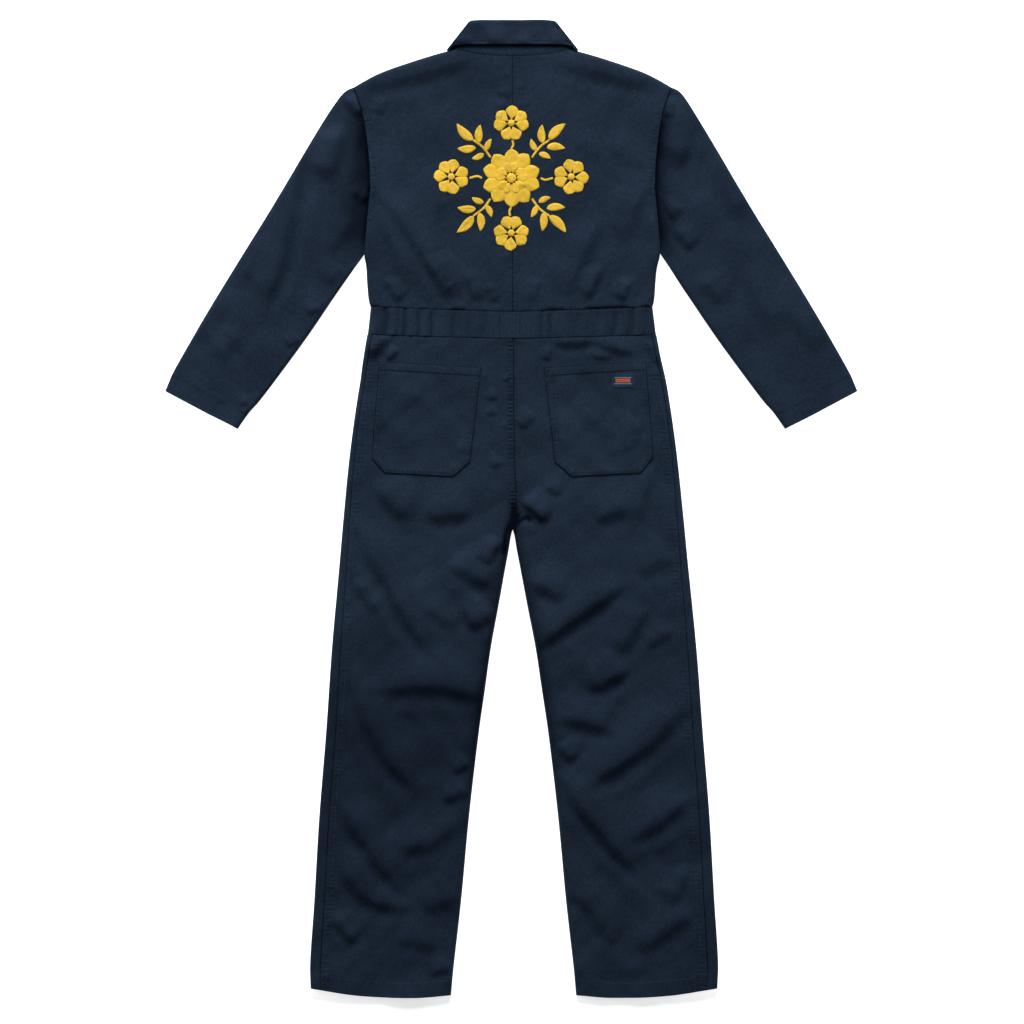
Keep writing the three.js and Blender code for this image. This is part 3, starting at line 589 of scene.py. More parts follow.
# Sizes that all pieces share
cloth = {"wall": 1.2, "gap": -0.2, "roll": 6.0, "cell": 3.0}
wall, gap, roll = cloth["wall"], cloth["gap"], cloth["roll"]
foot = wall + 0.7  # where a turned-down edge stops, just over the layer beneath
lapHeight = 1.5  # how far the fronts step up over the placket, and over the collar
frontEdge = 9.3  # the fronts stop beside the zip tape, this far out
turnSteps = [0, 0.4, 0.9, 1.6, 2.6, 4.0, 6.0]  # columns across an edge that turns down
seamSteps = [0, 0.4, 0.9, 1.6, 2.8]  # columns beside a seam


def rowSteps(steps, *rows):  # more columns where rows of stitches sink in
    extra = [row + away for row in rows for away in (-1.7, -0.8, 0, 0.8, 1.7)]
    return sorted(set(steps) | {round(e, 2) for e in extra if e > steps[-1] + 0.4})


loft = [(-800, 8), (-700, 9), (-400, 9.5), (0, 10), (300, 9.5), (740, 8.6), (800, 8.6)]
lowest = foot + wall + 1.2


def softFloor(z):
    return np.where(z > lowest + 2, z, lowest + 2 * np.exp(np.minimum(z - lowest - 2, 0) / 2))


foldTop = {"from": 14, "most": 22}  # folds that cross don't pile up past the most


def softTop(z):
    low, room = foldTop["from"], foldTop["most"] - foldTop["from"]
    return np.where(z > low, low + room * np.tanh((z - low) / room), z)


def fall(away):  # quarter-round fall towards an edge
    return np.sqrt(1 - np.clip(1 - away / roll, 0, 1) ** 2)


# Upper body
bodyLines = {
    "neckSeam": [(0, 741.2), (46, 743), (79, 748.4), (92, 752)],
    "shoulder": [(92, 752), (107, 749), (151, 736.2), (216, 713.5), (260, 690)],
    "armhole": [(260, 690), (244.6, 641), (235.5, 575), (233, 523)],
    "side": [(233, 523), (238, 470), (241.5, 420), (236, 391), (232, 345), (228.5, 330.5)],
    "frontNeck": [(0, 667), (30, 671), (60, 685), (84, 715), (92, 752)],
    "bandTop": [(0, 322.5), (120, 326), (228.5, 330.5)],
    "bandFoot": [(0, 278.5), (120, 281.5), (234, 285)],
    "sideFoot": [(300, foot), (385, foot), (408, 6.4), (505, 6.4), (528, 9), (700, 9)],
}
bodyFolds = [
    ([(-250, 684), (-160, 703), (-50, 735)], 15, 2.0),
    ([(250, 684), (168, 701), (50, 733)], 15, 1.9),
    ([(-228, 523), (-186, 470), (-114, 363)], 13, 1.9),
    ([(-150, 412), (-122, 374), (-100, 334)], 12, 1.8),
    ([(-222, 500), (-190, 404), (-174, 345)], 14, 1.5),
    ([(226, 523), (210, 504), (187, 430)], 12, 1.3),
    ([(150, 480), (110, 386), (82, 335)], 15, 1.7),
    ([(145, 602), (187, 569), (225, 552)], 13, 0.9),
    ([(212, 500), (225, 440), (222, 380)], 13, 1.0),
    ([(-16, 710), (-9, 708), (-2, 709)], 4, 0.6),
    ([(-26, 679), (-13, 676), (-2, 675)], 5, 0.8),
    ([(-36, 657), (-20, 655), (-4, 657)], 5, 0.6),
    ([(3, 689), (11, 687), (22, 690)], 4, 0.4),
    ([(4, 660), (18, 658), (36, 664)], 5, 0.5),
    ([(-206, 675), (-209, 659), (-213, 641)], 7, 0.8),
    ([(4, 530), (14, 528), (28, 532)], 4, 0.4),
    ([(-20, 410), (-11, 408), (-2, 409)], 4, 0.4),
    ([(-208, 380), (-196, 352), (-188, 334)], 7, 1.2),
    ([(-84, 392), (-70, 362), (-62, 334)], 8, 1.0),
    ([(-44, 372), (-38, 352), (-34, 334)], 6, 0.8),
    ([(46, 380), (40, 352), (38, 334)], 6, 0.7),
    ([(148, 400), (134, 362), (126, 336)], 8, 1.2),
    ([(196, 378), (186, 354), (180, 336)], 7, 1.2),
    ([(-150, 560), (-134, 520), (-120, 470)], 12, 0.7),
    ([(92, 610), (118, 585), (150, 568)], 11, 0.5),
]
bodySettings = {
    "armholeSeam": {"dip": 1.0, "round": 0.9, "band": 9.5, "raise": 0.5, "rows": [8.8], "sink": 0.25,
                    "pucker": 0.2, "pitch": 6.0, "reach": 4.2},
    "centreSeam": {"dip": 0.9, "round": 0.8, "rows": [], "sink": 0.2, "pucker": 0.22, "pitch": 14.0,
                   "reach": 9.0},
    "neckSeamRelief": {"dip": 1.0, "round": 0.9, "rows": [2.0], "sink": 0.2, "pucker": 0.16, "pitch": 7.0,
                       "reach": 5.0},
    "bandSeam": {"dip": 1.2, "round": 1.2, "rows": [], "sink": 0.2, "pucker": 0.5, "pitch": 11.0,
                 "reach": 18.0},
    "rumple": [(70, 0.7, 1.4), (36, 0.34, 1.2), (17, 0.16, 1.0), (9, 0.09, 1.0)],
    # Stretches just above the waistband where the gathered cloth hangs over: the cloth sinks there and gets
    # painted shadow. Columns: from x, to x, depth
    "slits": [(-231, -213, 2.4), (-191, -182, 1.8), (-103, -75, 2.2), (52, 88, 2.4), (116, 192, 2.8),
              (209, 226, 2.6)],
    # Where neck and armhole end, as shares of the top and outer edges
    "neckShare": 0.36, "frontNeckShare": 0.4, "armShare": 0.46,
    "backCut": {"width": 0.27, "length": 0.45, "area": 0.1},
    "frontCut": {"width": 0.27, "length": 0.45, "area": 0.092},
}
shoulderChain = chainOf(curve(bodyLines["shoulder"]))
armholeChain = chainOf(curve(bodyLines["armhole"]))
sideChain = chainOf(curve(bodyLines["side"]))
neckChain = chainOf(curve(bodyLines["neckSeam"]))


# How much further out each side lies, for each y
sideReach = {-1: [(-800, 0), (200, 0), (243, 2.2), (310, 3.2), (374, 3.8), (407, 1.6), (440, 0), (760, 0)],
             1: [(-800, 1.2), (-670, 2.4), (210, 2.4), (250, 1.0), (310, 0.8), (380, 0), (760, 0)]}


def widen(side, x, y, edge):
    return tableValue(sideReach[side], y) * smoothStep(x, edge - 34, edge - 8)


def overCollar(y):
    return lapHeight * smoothStep(y, 560, 600)


def underside(x, y):  # the front steps over the placket, and over the collar above the chest
    overPlacket = lapHeight * (1 - smoothStep(np.abs(x), 33, 39))
    return np.maximum(overCollar(y), np.where(y > -20, overPlacket, 0))


def slitDepth(x, away, s):
    depth = np.zeros(x.shape)
    for start, end, deep in s["slits"]:
        depth += deep * smoothStep(x, start, start + 7) * (1 - smoothStep(x, end - 7, end))
    return depth * bell(away, 3.2)


def backLevel(side, x, y):  # the laid cloth with its folds, before its edges
    base = tableValue(loft, y) + foldsAt(bodyFolds, side * x, y, 1.3)
    return softTop(softFloor(base + rumple(side * x, y, 3, bodySettings["rumple"])))


def backEdges(x, y):
    # The armhole and the neck, each as distance and run, and the distance above the waistband
    fromBand = y - np.interp(x, *zip(*bodyLines["bandTop"]))
    return nearLine(armholeChain, x, y), nearLine(neckChain, x, y), fromBand


def backHeight(side, x, y):
    s = bodySettings
    full = backLevel(side, x, y)
    (fromArm, armRun), (fromNeck, neckRun), fromBand = backEdges(x, y)
    full = full + seamRelief(x, y, s["centreSeam"], 11 + side)
    full = full + seamRelief(fromArm, armRun, s["armholeSeam"], 5 + side)
    full = full + seamRelief(fromNeck, neckRun, s["neckSeamRelief"], 7 + side)
    full = full + seamRelief(fromBand, x, s["bandSeam"], 9 + side) - slitDepth(side * x, fromBand, s)
    shoulderFoot = foot + overCollar(y)
    sideLow = tableValue(bodyLines["sideFoot"], y) + overCollar(y) * (1 - smoothStep(y, 505, 540))
    hang = np.minimum(sideLow, full)
    overShoulder = np.where(x > 95, fall(nearLine(shoulderChain, x, y)[0]), 1)
    low = shoulderFoot + (full - shoulderFoot) * overShoulder
    fromSide = np.where(y > 528, 1, fall(nearLine(sideChain, x, y)[0]))
    return np.minimum(low, hang + (full - hang) * fromSide)


# Painted shade along the centre, armhole, neck and band seams, and painted shadow under the cloth that hangs
# over the band
def backShade(side, x, y):
    (fromArm, _), (fromNeck, _), fromBand = backEdges(x, y)
    atArm = seamShade(fromArm, bodySettings["armholeSeam"]["rows"])
    shade = np.maximum(seamShade(x, deep=0.6, wide=0.8), atArm)
    shade = np.maximum(shade, seamShade(fromNeck, [2.0], deep=0.7))
    slits = slitDepth(side * x, fromBand, bodySettings)
    return np.clip(np.maximum(shade, seamShade(fromBand, deep=0.7, wide=1.0)) + 0.16 * slits, 0, 0.97)


def backPull(side, x, y):
    (fromArm, armRun), (fromNeck, neckRun), fromBand = backEdges(x, y)
    return pullAt((fromArm, armRun + 40 * side, 7.0, 5.5, 0.8), (fromNeck, neckRun, 1.5, 3.0, 0.5),
                  (x, y + 31 * side, 2.5, 6.0, 0.3), (fromBand, side * x, 0, 9.0, 0.8))


def makeUpperBack(side, word):
    s = bodySettings
    neckShare, armShare = s["neckShare"], s["armShare"]
    top = joinedLines(curve(bodyLines["neckSeam"]), neckShare, curve(bodyLines["shoulder"]))
    outer = joinedLines(curve(bodyLines["armhole"]), armShare, curve(bodyLines["side"]))
    place = patch(top, curve(bodyLines["bandTop"]), bentLine([(0, 741.2), (0, 322.5)]), outer)
    u = shareRows([240], int(226 / cloth["cell"]), seamSteps, rowSteps(turnSteps, 8.8))[0]
    v = shareRows([412], int(400 / cloth["cell"]), turnSteps, seamSteps)[0]
    us, vs = np.meshgrid(u, v)
    xy = place(us, vs)
    x, y = xy[..., 0], xy[..., 1]
    z = backHeight(side, np.maximum(x, 0), y)
    shade = backShade(side, np.maximum(x, 0), y)
    x = x + widen(side, x, y, 235)
    sewn = (us == 0) | ((us == 1) & (vs <= armShare))
    x = x + gap / 2 * (1 - 2 * us) * sewn
    y = y - np.where((vs == 0) & (us <= neckShare), gap / 2, 0) + np.where(vs == 1, gap / 2, 0)
    free = {"top": (u > 0.38) * 1.0, "end": (v > 0.52) * 1.0}
    clothPiece(f"upperBack{word}", f"back_{word.lower()}", np.stack([side * x, y, z], -1), twillBody,
               s["backCut"], [f"upperFront{word}"], shade=shade,
               pull=backPull(side, np.maximum(x, 0), y), flip=-side, free=free)


def makeUpperFront(side, word):
    s = bodySettings
    neckShare, armShare = s["frontNeckShare"], s["armShare"]
    top = joinedLines(curve(bodyLines["frontNeck"]), neckShare, curve(bodyLines["shoulder"]))
    outer = joinedLines(curve(bodyLines["armhole"]), armShare, curve(bodyLines["side"]))
    place = patch(top, curve(bodyLines["bandTop"]), bentLine([(0, 667), (0, 322.5)]), outer)
    v = shareRows([412], 30, [0, 4], [0, 4])[0]
    finer = np.linspace(0, 1, 2001)
    rows = []
    for level in v:  # columns follow the placket's edge
        xs = place(finer, level)[..., 0]
        beside = [finer[np.argmax(xs >= at)] if at else 0 for at in (0, 20, 33, 36, 39)]
        rows.append(np.r_[beside, np.linspace(beside[-1], 1, 22)[1:]])
    us = np.array(rows)
    xy = place(us, v[:, None])
    x, y = xy[..., 0], xy[..., 1]
    z = underside(x, y)
    x = np.where(us == 0, frontEdge, x - np.where((us == 1) & (v[:, None] <= armShare), gap / 2, 0))
    y = y - np.where((v[:, None] == 0) & (us <= neckShare), gap / 2, 0)
    y = y + np.where(v[:, None] == 1, gap / 2, 0)
    x = x + widen(side, x, y, 235)
    grid = np.stack([side * np.maximum(x, frontEdge), y, z], -1)
    clothPiece(f"upperFront{word}", f"front_{word.lower()}", grid, twillBody, s["frontCut"],
               ["frontPlacket"], flip=side, straightDown=True)


# Sleeves: one strip folded along the outer edge, sewn along the inner one
sleeveLines = {
    "cap": [(259.7, 689.9), (244.3, 641), (235.2, 575), (232.8, 523)],
    "outer": [(259.7, 689.9), (273.5, 683), (289.5, 662), (329, 597), (383, 505), (481, 345), (547, 230.5),
              (564, 193)],
    "cuff": [(564, 193), (506, 162), (449, 131)],
    "inner": [(261, 391), (293, 345), (340, 276), (407, 185), (430, 158), (449, 131)],
    "tuck": [(232.8, 523), (228, 505), (229, 480), (232, 450), (238, 424), (261, 391)],
    "under": [(232.8, 523), (240.5, 470), (244, 420), (261, 391)],
}
sleeveFolds = [
    ([(-276, 676), (-262, 655), (-247, 636)], 9, 2.0),
    ([(-272, 632), (-284, 580), (-294, 528)], 13, 2.2),
    ([(-316, 636), (-340, 560), (-358, 466), (-390, 350), (-416, 288)], 16, 2.4),
    ([(-352, 430), (-375, 385), (-400, 335)], 16, 1.0),
    ([(-455, 356), (-482, 309), (-512, 262)], 18, 1.1),
    ([(-266, 516), (-254, 512), (-244, 496)], 8, 1.4),
    ([(-258, 480), (-276, 446), (-298, 408)], 11, 0.9),
    ([(-270, 396), (-286, 378), (-304, 362)], 10, 0.6),
    ([(278, 680), (286, 610), (275, 548)], 14, 2.8),
    ([(281, 498), (268, 482), (254, 473)], 11, 1.3),
    ([(-300, 333), (-320, 324), (-340, 314)], 10, 0.6),
    ([(370, 400), (400, 330), (440, 270)], 18, 1.0),
    ([(-311, 329), (-323, 322), (-336, 316)], 6, 0.7),
    ([(-344, 278), (-357, 270), (-369, 262)], 6, 0.8),
    ([(-447, 168), (-437, 171), (-428, 175)], 5, 0.8),
    ([(266, 677), (263, 655), (261, 634)], 7, 1.6),
    ([(318, 590), (345, 520), (372, 460)], 16, 1.4),
    ([(-392, 452), (-420, 400), (-440, 352)], 15, 1.0),
    ([(452, 330), (470, 290), (500, 248)], 14, 1.0),
    ([(262, 460), (276, 440), (294, 420)], 10, 1.4),
    ([(300, 380), (326, 352), (350, 330)], 12, 1.0),
    ([(-430, 290), (-452, 262), (-480, 240)], 14, 0.8),
]
sleeveSettings = {
    "innerSeam": {"dip": 0.4, "round": 0.8, "rows": [], "sink": 0.2, "pucker": 0.2, "pitch": 9.0,
                  "reach": 7.0},
    "rumple": [(80, 0.58, 1.8), (38, 0.26, 1.4), (17, 0.1, 1.0), (9, 0.05, 1.0)],
    "hem": 28.0, "hemRaise": 0.4, "hemSink": 0.3, "capSeam": {"dip": 0.6, "round": 0.8},
    # Height of the laid sleeve, its drop towards the cuff, and its height where it slips under the body
    "height": 8.4, "cuffDrop": 1.4, "lowest": 3.9, "tuckShare": 0.245,
    # How far it dips beside the armhole, at the shoulder and more at the underarm, and beside the body
    "armDip": (1.6, 5.0), "sideDip": 4.6,
    # Painted shade on each sleeve beside the body, where it is closed in: how wide, how wide the darkest part
    # is, and how dark
    "shadeWidth": {-1: 33.0, 1: 17.0}, "shadeCoreWidth": {-1: 15.0, 1: 11.0}, "shadeMost": 0.97,
    # painted shade in the cuff's stitch row
    "hemShade": 0.66,
    # How much further out each sleeve lies at the shoulder and the cuff, and how much fuller it is inside
    "reach": {-1: (3.0, 4.6), 1: (0, 0.6)}, "fuller": {-1: 0, 1: 3.2},
    "cut": {"width": 0.5, "length": 0.6, "area": 0.162},
}
innerChain = chainOf(curve(sleeveLines["inner"]))
outerChain = chainOf(curve(sleeveLines["outer"]))
cuffChain = chainOf(curve(sleeveLines["cuff"]))


def sleeveLevel(side, x, y):
    s = sleeveSettings
    fromArm, fromSide = nearLine(armholeChain, x, y)[0], nearLine(sideChain, x, y)[0]
    high, low = s["armDip"]
    armDip = (high + (low - high) * smoothStep(-y, -660, -560)) * bell(fromArm, 24) * smoothStep(y, 480, 520)
    sideDip = s["sideDip"] * bell(fromSide, 26) * (1 - smoothStep(y, 500, 540)) * smoothStep(y, 330, 400)
    base = s["height"] - s["cuffDrop"] * smoothStep(x, 380, 560) - np.maximum(armDip, sideDip)
    quiet = smoothStep(np.minimum(fromArm, fromSide), 4, 22)
    z = base + foldsAt(sleeveFolds, side * x, y, 1.2) + quiet * rumple(side * x, y, 21 + side, s["rumple"])
    fromCuff, cuffRun = nearLine(cuffChain, x, y)
    z = z + s["hemRaise"] * (1 - smoothStep(fromCuff, s["hem"] - 0.8, s["hem"] + 1))
    z = z - s["hemSink"] * bell(fromCuff - s["hem"], 1.0)
    z = z + 0.14 * ripple(cuffRun, 7, 31 + side) * bell(fromCuff - s["hem"], 4)
    z = z - s["capSeam"]["dip"] * np.exp(-fromArm / s["capSeam"]["round"])
    return softTop(np.maximum(z, s["lowest"]))


def sleeveShade(side, x, y):  # painted shade beside the body, where the sleeve is closed in, and in the cuff's stitch row
    s = sleeveSettings
    arm = np.vstack([armholeChain, sideChain[1:24]])
    away = nearLine(arm, x, y)[0]
    wide = s["shadeWidth"][side] * (0.7 + 0.5 * smoothStep(-y, -660, -500))
    lengthwise = smoothStep(-y, -672, -622) * (1 - smoothStep(-y, -452, -392))
    uneven = 0.84 + 0.16 * np.sin(y / 17 + x / 9 + 1.7 * side) * np.cos(y / 29 - side)
    beside = s["shadeMost"] * uneven * lengthwise * bell(away, wide)
    beside = np.maximum(beside, s["shadeMost"] * lengthwise * bell(away, s["shadeCoreWidth"][side]))
    hemRow = s["hemShade"] * bell(nearLine(cuffChain, x, y)[0] - s["hem"], rowWidth)
    return np.clip(np.maximum(np.maximum(beside, hemRow), seamShade(away, deep=0.9, wide=1.3)), 0, 0.95)


def sleevePull(side, x, y):
    fromCuff, cuffRun = nearLine(cuffChain, x, y)
    fromInner, innerRun = nearLine(innerChain, x, y)
    return pullAt((fromCuff, cuffRun + 50 * side, sleeveSettings["hem"], 4.0, 0.5),
                  (fromInner, innerRun + 70 * side, 2.0, 6.0, 0.45))


def sleeveReach(side, x, y):
    start, end = sleeveSettings["reach"][side]
    inside = bell(nearLine(innerChain, x, y)[0], 30) * (1 - smoothStep(y, 350, 420))
    out = start * smoothStep(x, 262, 310) * smoothStep(nearLine(innerChain, x, y)[0], 10, 60)
    return out + (end - start) * smoothStep(x, 310, 560) - sleeveSettings["fuller"][side] * inside


def makeSleeve(side, word):
    s = sleeveSettings
    cap, cuff, outer, inner, tuck, under = (
        curve(sleeveLines[name]) for name in ("cap", "cuff", "outer", "inner", "tuck", "under"))
    innerTop = joinedLines(tuck, s["tuckShare"], inner)
    upper = patch(cap, cuff, outer, innerTop)
    lower = patch(cap, cuff, outer, joinedLines(under, s["tuckShare"], inner))
    v = shareRows([560], int(530 / cloth["cell"]), seamSteps, rowSteps([0, 0.5, 1.2], s["hem"]))[0]
    width = np.hypot(*(outer(v) - innerTop(v)).T)
    us = shareRows(width, 58, turnSteps[1:], turnSteps)
    vs = v[:, None] + 0 * us
    xy = upper(us, vs)
    x, y = xy[..., 0], xy[..., 1]
    full = sleeveLevel(side, x, y)
    sideX = tableValue([(b, a) for a, b in bodyLines["side"]], y)
    full = np.where((x < sideX + 3) & (y < 523), np.minimum(full, s["lowest"]), full)
    hang = foot + 2 * smoothStep(y, 395, 430)
    fromInner, innerRun = nearLine(innerChain, x, y)
    full = full + seamRelief(fromInner, innerRun, s["innerSeam"], 41 + side) * (1 - smoothStep(y, 380, 420))
    fromInner = np.where(y > 430, 1, fall(fromInner))
    z = np.minimum(full, hang + (full - hang) * fromInner)
    away = np.minimum(nearLine(outerChain, x, y)[0], us * width[:, None])
    z = np.where(us * width[:, None] <= roll, z / 2 + z / 2 * fall(away), z)
    over = np.stack([x, y, z], -1)[:, ::-1]
    level = over[:, -3, 2] / 2
    fold = np.concatenate([outer(v), level[:, None]], -1)[:, None]
    ws = shareRows(width, 10, turnSteps[1:], [0])
    low = lower(ws, v[:, None] + 0 * ws)
    rise = np.where(ws * width[:, None] <= roll, level[:, None] * (1 - fall(ws * width[:, None])), 0)
    under = np.concatenate([low, rise[..., None]], -1)
    grid = np.concatenate([over, fold, under], 1)
    shade = sleeveShade(side, grid[..., 0], grid[..., 1])
    pull = sleevePull(side, grid[..., 0], grid[..., 1])
    grid[..., 0] = side * (grid[..., 0] + sleeveReach(side, grid[..., 0], grid[..., 1]))
    clothPiece(f"sleeve{word}", f"sleeve_{word.lower()}", grid, twillSleeve[side], s["cut"],
               [f"upperFront{word}"], shade=shade, pull=pull, flip=-side,
               free={"start": (v > 0.3) * 1.0})


# Waistband: an elastic back strip with gathers, over two plain front strips
bandSettings = {
    # Columns: x, reach, height
    "gathers": [(-221, 5, 1.2), (-208, 5, -1.8), (-194, 4, 1.4), (-187, 2.5, -0.7), (-176, 4, -1.5),
                (-165, 4, 1.3), (-153, 4, -1.4), (-147, 2, 0.6), (-141, 4, 1.2), (-130, 4, -1),
                (-112, 5, 0.4), (-96, 6, -0.9), (-76, 4, 0.4), (-60, 6, 0.7), (-46, 4, -0.6), (30, 5, 0.4),
                (48, 3, -0.9), (62, 4, -1.1), (72, 4, 0.5), (86, 6, 0.8), (104, 4, -0.5), (120, 5, 0.4),
                (136, 4, -0.5), (150, 5, 1), (166, 5, -1.4), (181, 5, 1.2), (190, 3, -0.9), (196, 4, -1.2),
                (203, 3, 0.7), (210, 4, 1.1), (219, 3, -0.6)],
    "height": 9.3, "gatherScale": 1.5, "gatherShade": 0.24, "rumple": [(24, 0.16, 2.5), (9, 0.05, 1.5)],
    # A flat piece at the centre back and one seam to the side
    "centrePiece": (-20.5, 12.3), "sideSeam": -133.2, "pieceRaise": 0.3, "seamSink": 0.45, "seamShade": 0.4,
    "edge": {"dip": 0.7, "round": 0.9, "rows": [2.4], "sink": 0.22, "pucker": 0.14, "pitch": 8.0,
             "reach": 5.0},
    "backCut": {"width": 0.47, "length": 0.05, "area": 0.0225},
    "frontCut": {"width": 0.24, "length": 0.05, "area": 0.0105},
}


def gatherRelief(x, y):
    total = np.zeros(x.shape)
    lean = (y - 304) * 0.12 + 1.5 * np.sin(y / 9 + x / 30)
    for at, reach, rise in bandSettings["gathers"]:
        total = total + rise * bell(x - at - lean, reach)
    return total


def bandEdges(x, y):  # distances down from the band's top and up from its foot
    top, low = (np.interp(np.abs(x), *zip(*bodyLines[name])) for name in ("bandTop", "bandFoot"))
    return top - y, y - low


# Painted shade along the band's edges and seams, and in the troughs of its gathers
def bandShade(x, y):
    s = bandSettings
    fromTop, fromFoot = bandEdges(x, y)
    rows = s["edge"]["rows"]
    shade = np.maximum(seamShade(fromTop, rows, 0.45), seamShade(fromFoot, rows, 0.75))
    for at in (*s["centrePiece"], s["sideSeam"]):
        shade = np.maximum(shade, s["seamShade"] * bell(x - at, rowWidth))
    return np.clip(shade + s["gatherShade"] * np.clip(-gatherRelief(x, y), 0, 2), 0, 0.95)


def bandPull(x, y):
    fromTop, fromFoot = bandEdges(x, y)
    gathered = 0.35 + 0.65 * smoothStep(np.abs(x + 10), 60, 120)
    return pullAt((fromTop, x, 3.0, 7.0, 0.9 * gathered), (fromFoot, x + 400, 2.0, 4.0, 0.5))


def bandHeight(x, y):
    s = bandSettings
    z = s["height"] + s["gatherScale"] * gatherRelief(x, y)
    for at in (*s["centrePiece"], s["sideSeam"]):
        z = z - s["seamSink"] * bell(x - at, rowWidth)
    left, right = s["centrePiece"]
    onPiece = smoothStep(x, left, left + 1.5) * (1 - smoothStep(x, right - 1.5, right))
    z = z + s["pieceRaise"] * onPiece + rumple(x, y, 52, s["rumple"])
    fromTop, fromFoot = bandEdges(x, y)
    return z + seamRelief(fromTop, x, s["edge"], 53) + seamRelief(fromFoot, x, s["edge"], 54)


def bandPlace():
    top, bottom = curve(bodyLines["bandTop"]), curve(bodyLines["bandFoot"])
    return patch(top, bottom, bentLine([(0, 322.5), (0, 278.5)]), bentLine([(228.5, 330.5), (234, 285)]))


def makeWaistbandBack():
    half = shareRows([231], 130, [0], turnSteps)[0]
    u = np.r_[-half[:0:-1], half]
    v = shareRows([44], 16, seamSteps, seamSteps)[0]
    us, vs = np.meshgrid(u, v)
    xy = bandPlace()(np.abs(us), vs)
    x, y = np.sign(us) * xy[..., 0], xy[..., 1]
    full = bandHeight(x, y)
    z = foot + (full - foot) * fall((1 - np.abs(us)) * 231)
    y = y + np.where(vs == 0, -gap / 2, 0) + np.where(vs == 1, gap / 2, 0)
    x = x - widen(-1, -x, y, 231) + widen(1, x, y, 231)
    clothPiece("backWaistband", "waistband_back", np.stack([x, y, z], -1), twillAcross,
               bandSettings["backCut"], ["frontWaistbandLeft", "frontWaistbandRight"],
               shade=bandShade(x, y), pull=bandPull(x, y), flip=-1,
               free={"start": 1.0, "end": 1.0})


def makeWaistbandFront(side, word):
    u = np.r_[0, 0.05, 0.1, 0.14, 0.155, 0.175, np.linspace(0.2, 1, 16)]
    us, vs = np.meshgrid(u, np.linspace(0, 1, 7))
    xy = bandPlace()(us, vs)
    x = np.maximum(xy[..., 0], frontEdge)
    y = xy[..., 1] + np.where(vs == 0, -gap / 2, 0) + np.where(vs == 1, gap / 2, 0)
    z = underside(x, xy[..., 1])
    grid = np.stack([side * (x + widen(side, x, y, 231)), y, z], -1)
    clothPiece(f"frontWaistband{word}", f"waistband_front_{word.lower()}", grid, twillAcross,
               bandSettings["frontCut"], ["frontPlacket"], flip=side, straightDown=True)


# Legs: the back piece lies on the front piece, which wraps over the outer edge to the outseam
legLines = {
    # Columns: y, distance out from centre back
    "outer": [(285, 234), (253, 240), (185, 253), (93, 266), (2, 275.5), (-90, 284), (-227, 297),
              (-365, 307), (-502, 318), (-639, 326), (-754, 333), (-797, 332)],
    "inner": [(-33, 0), (-44, 3.1), (-67, 6.8), (-90, 11.2), (-159, 24), (-227, 36.8), (-296, 46.8),
              (-365, 56.8), (-502, 72.8), (-639, 85.7), (-754, 98.6), (-797, 102.5)],
    "wrap": [(285, 7), (130, 7.5), (0, 10), (-150, 13), (-300, 15), (-797, 17)],
    "hem": [(104, -795.5), (161, -799.6), (251, -796.5), (332, -784)],
    "top": 282, "foot": -796, "crotch": -33,
    "seatShift": [(285, 2.1), (160, 2.3), (60, 4.2), (0, 6.6), (-20, 4.6), (-36, 0), (-797, 0)],
}
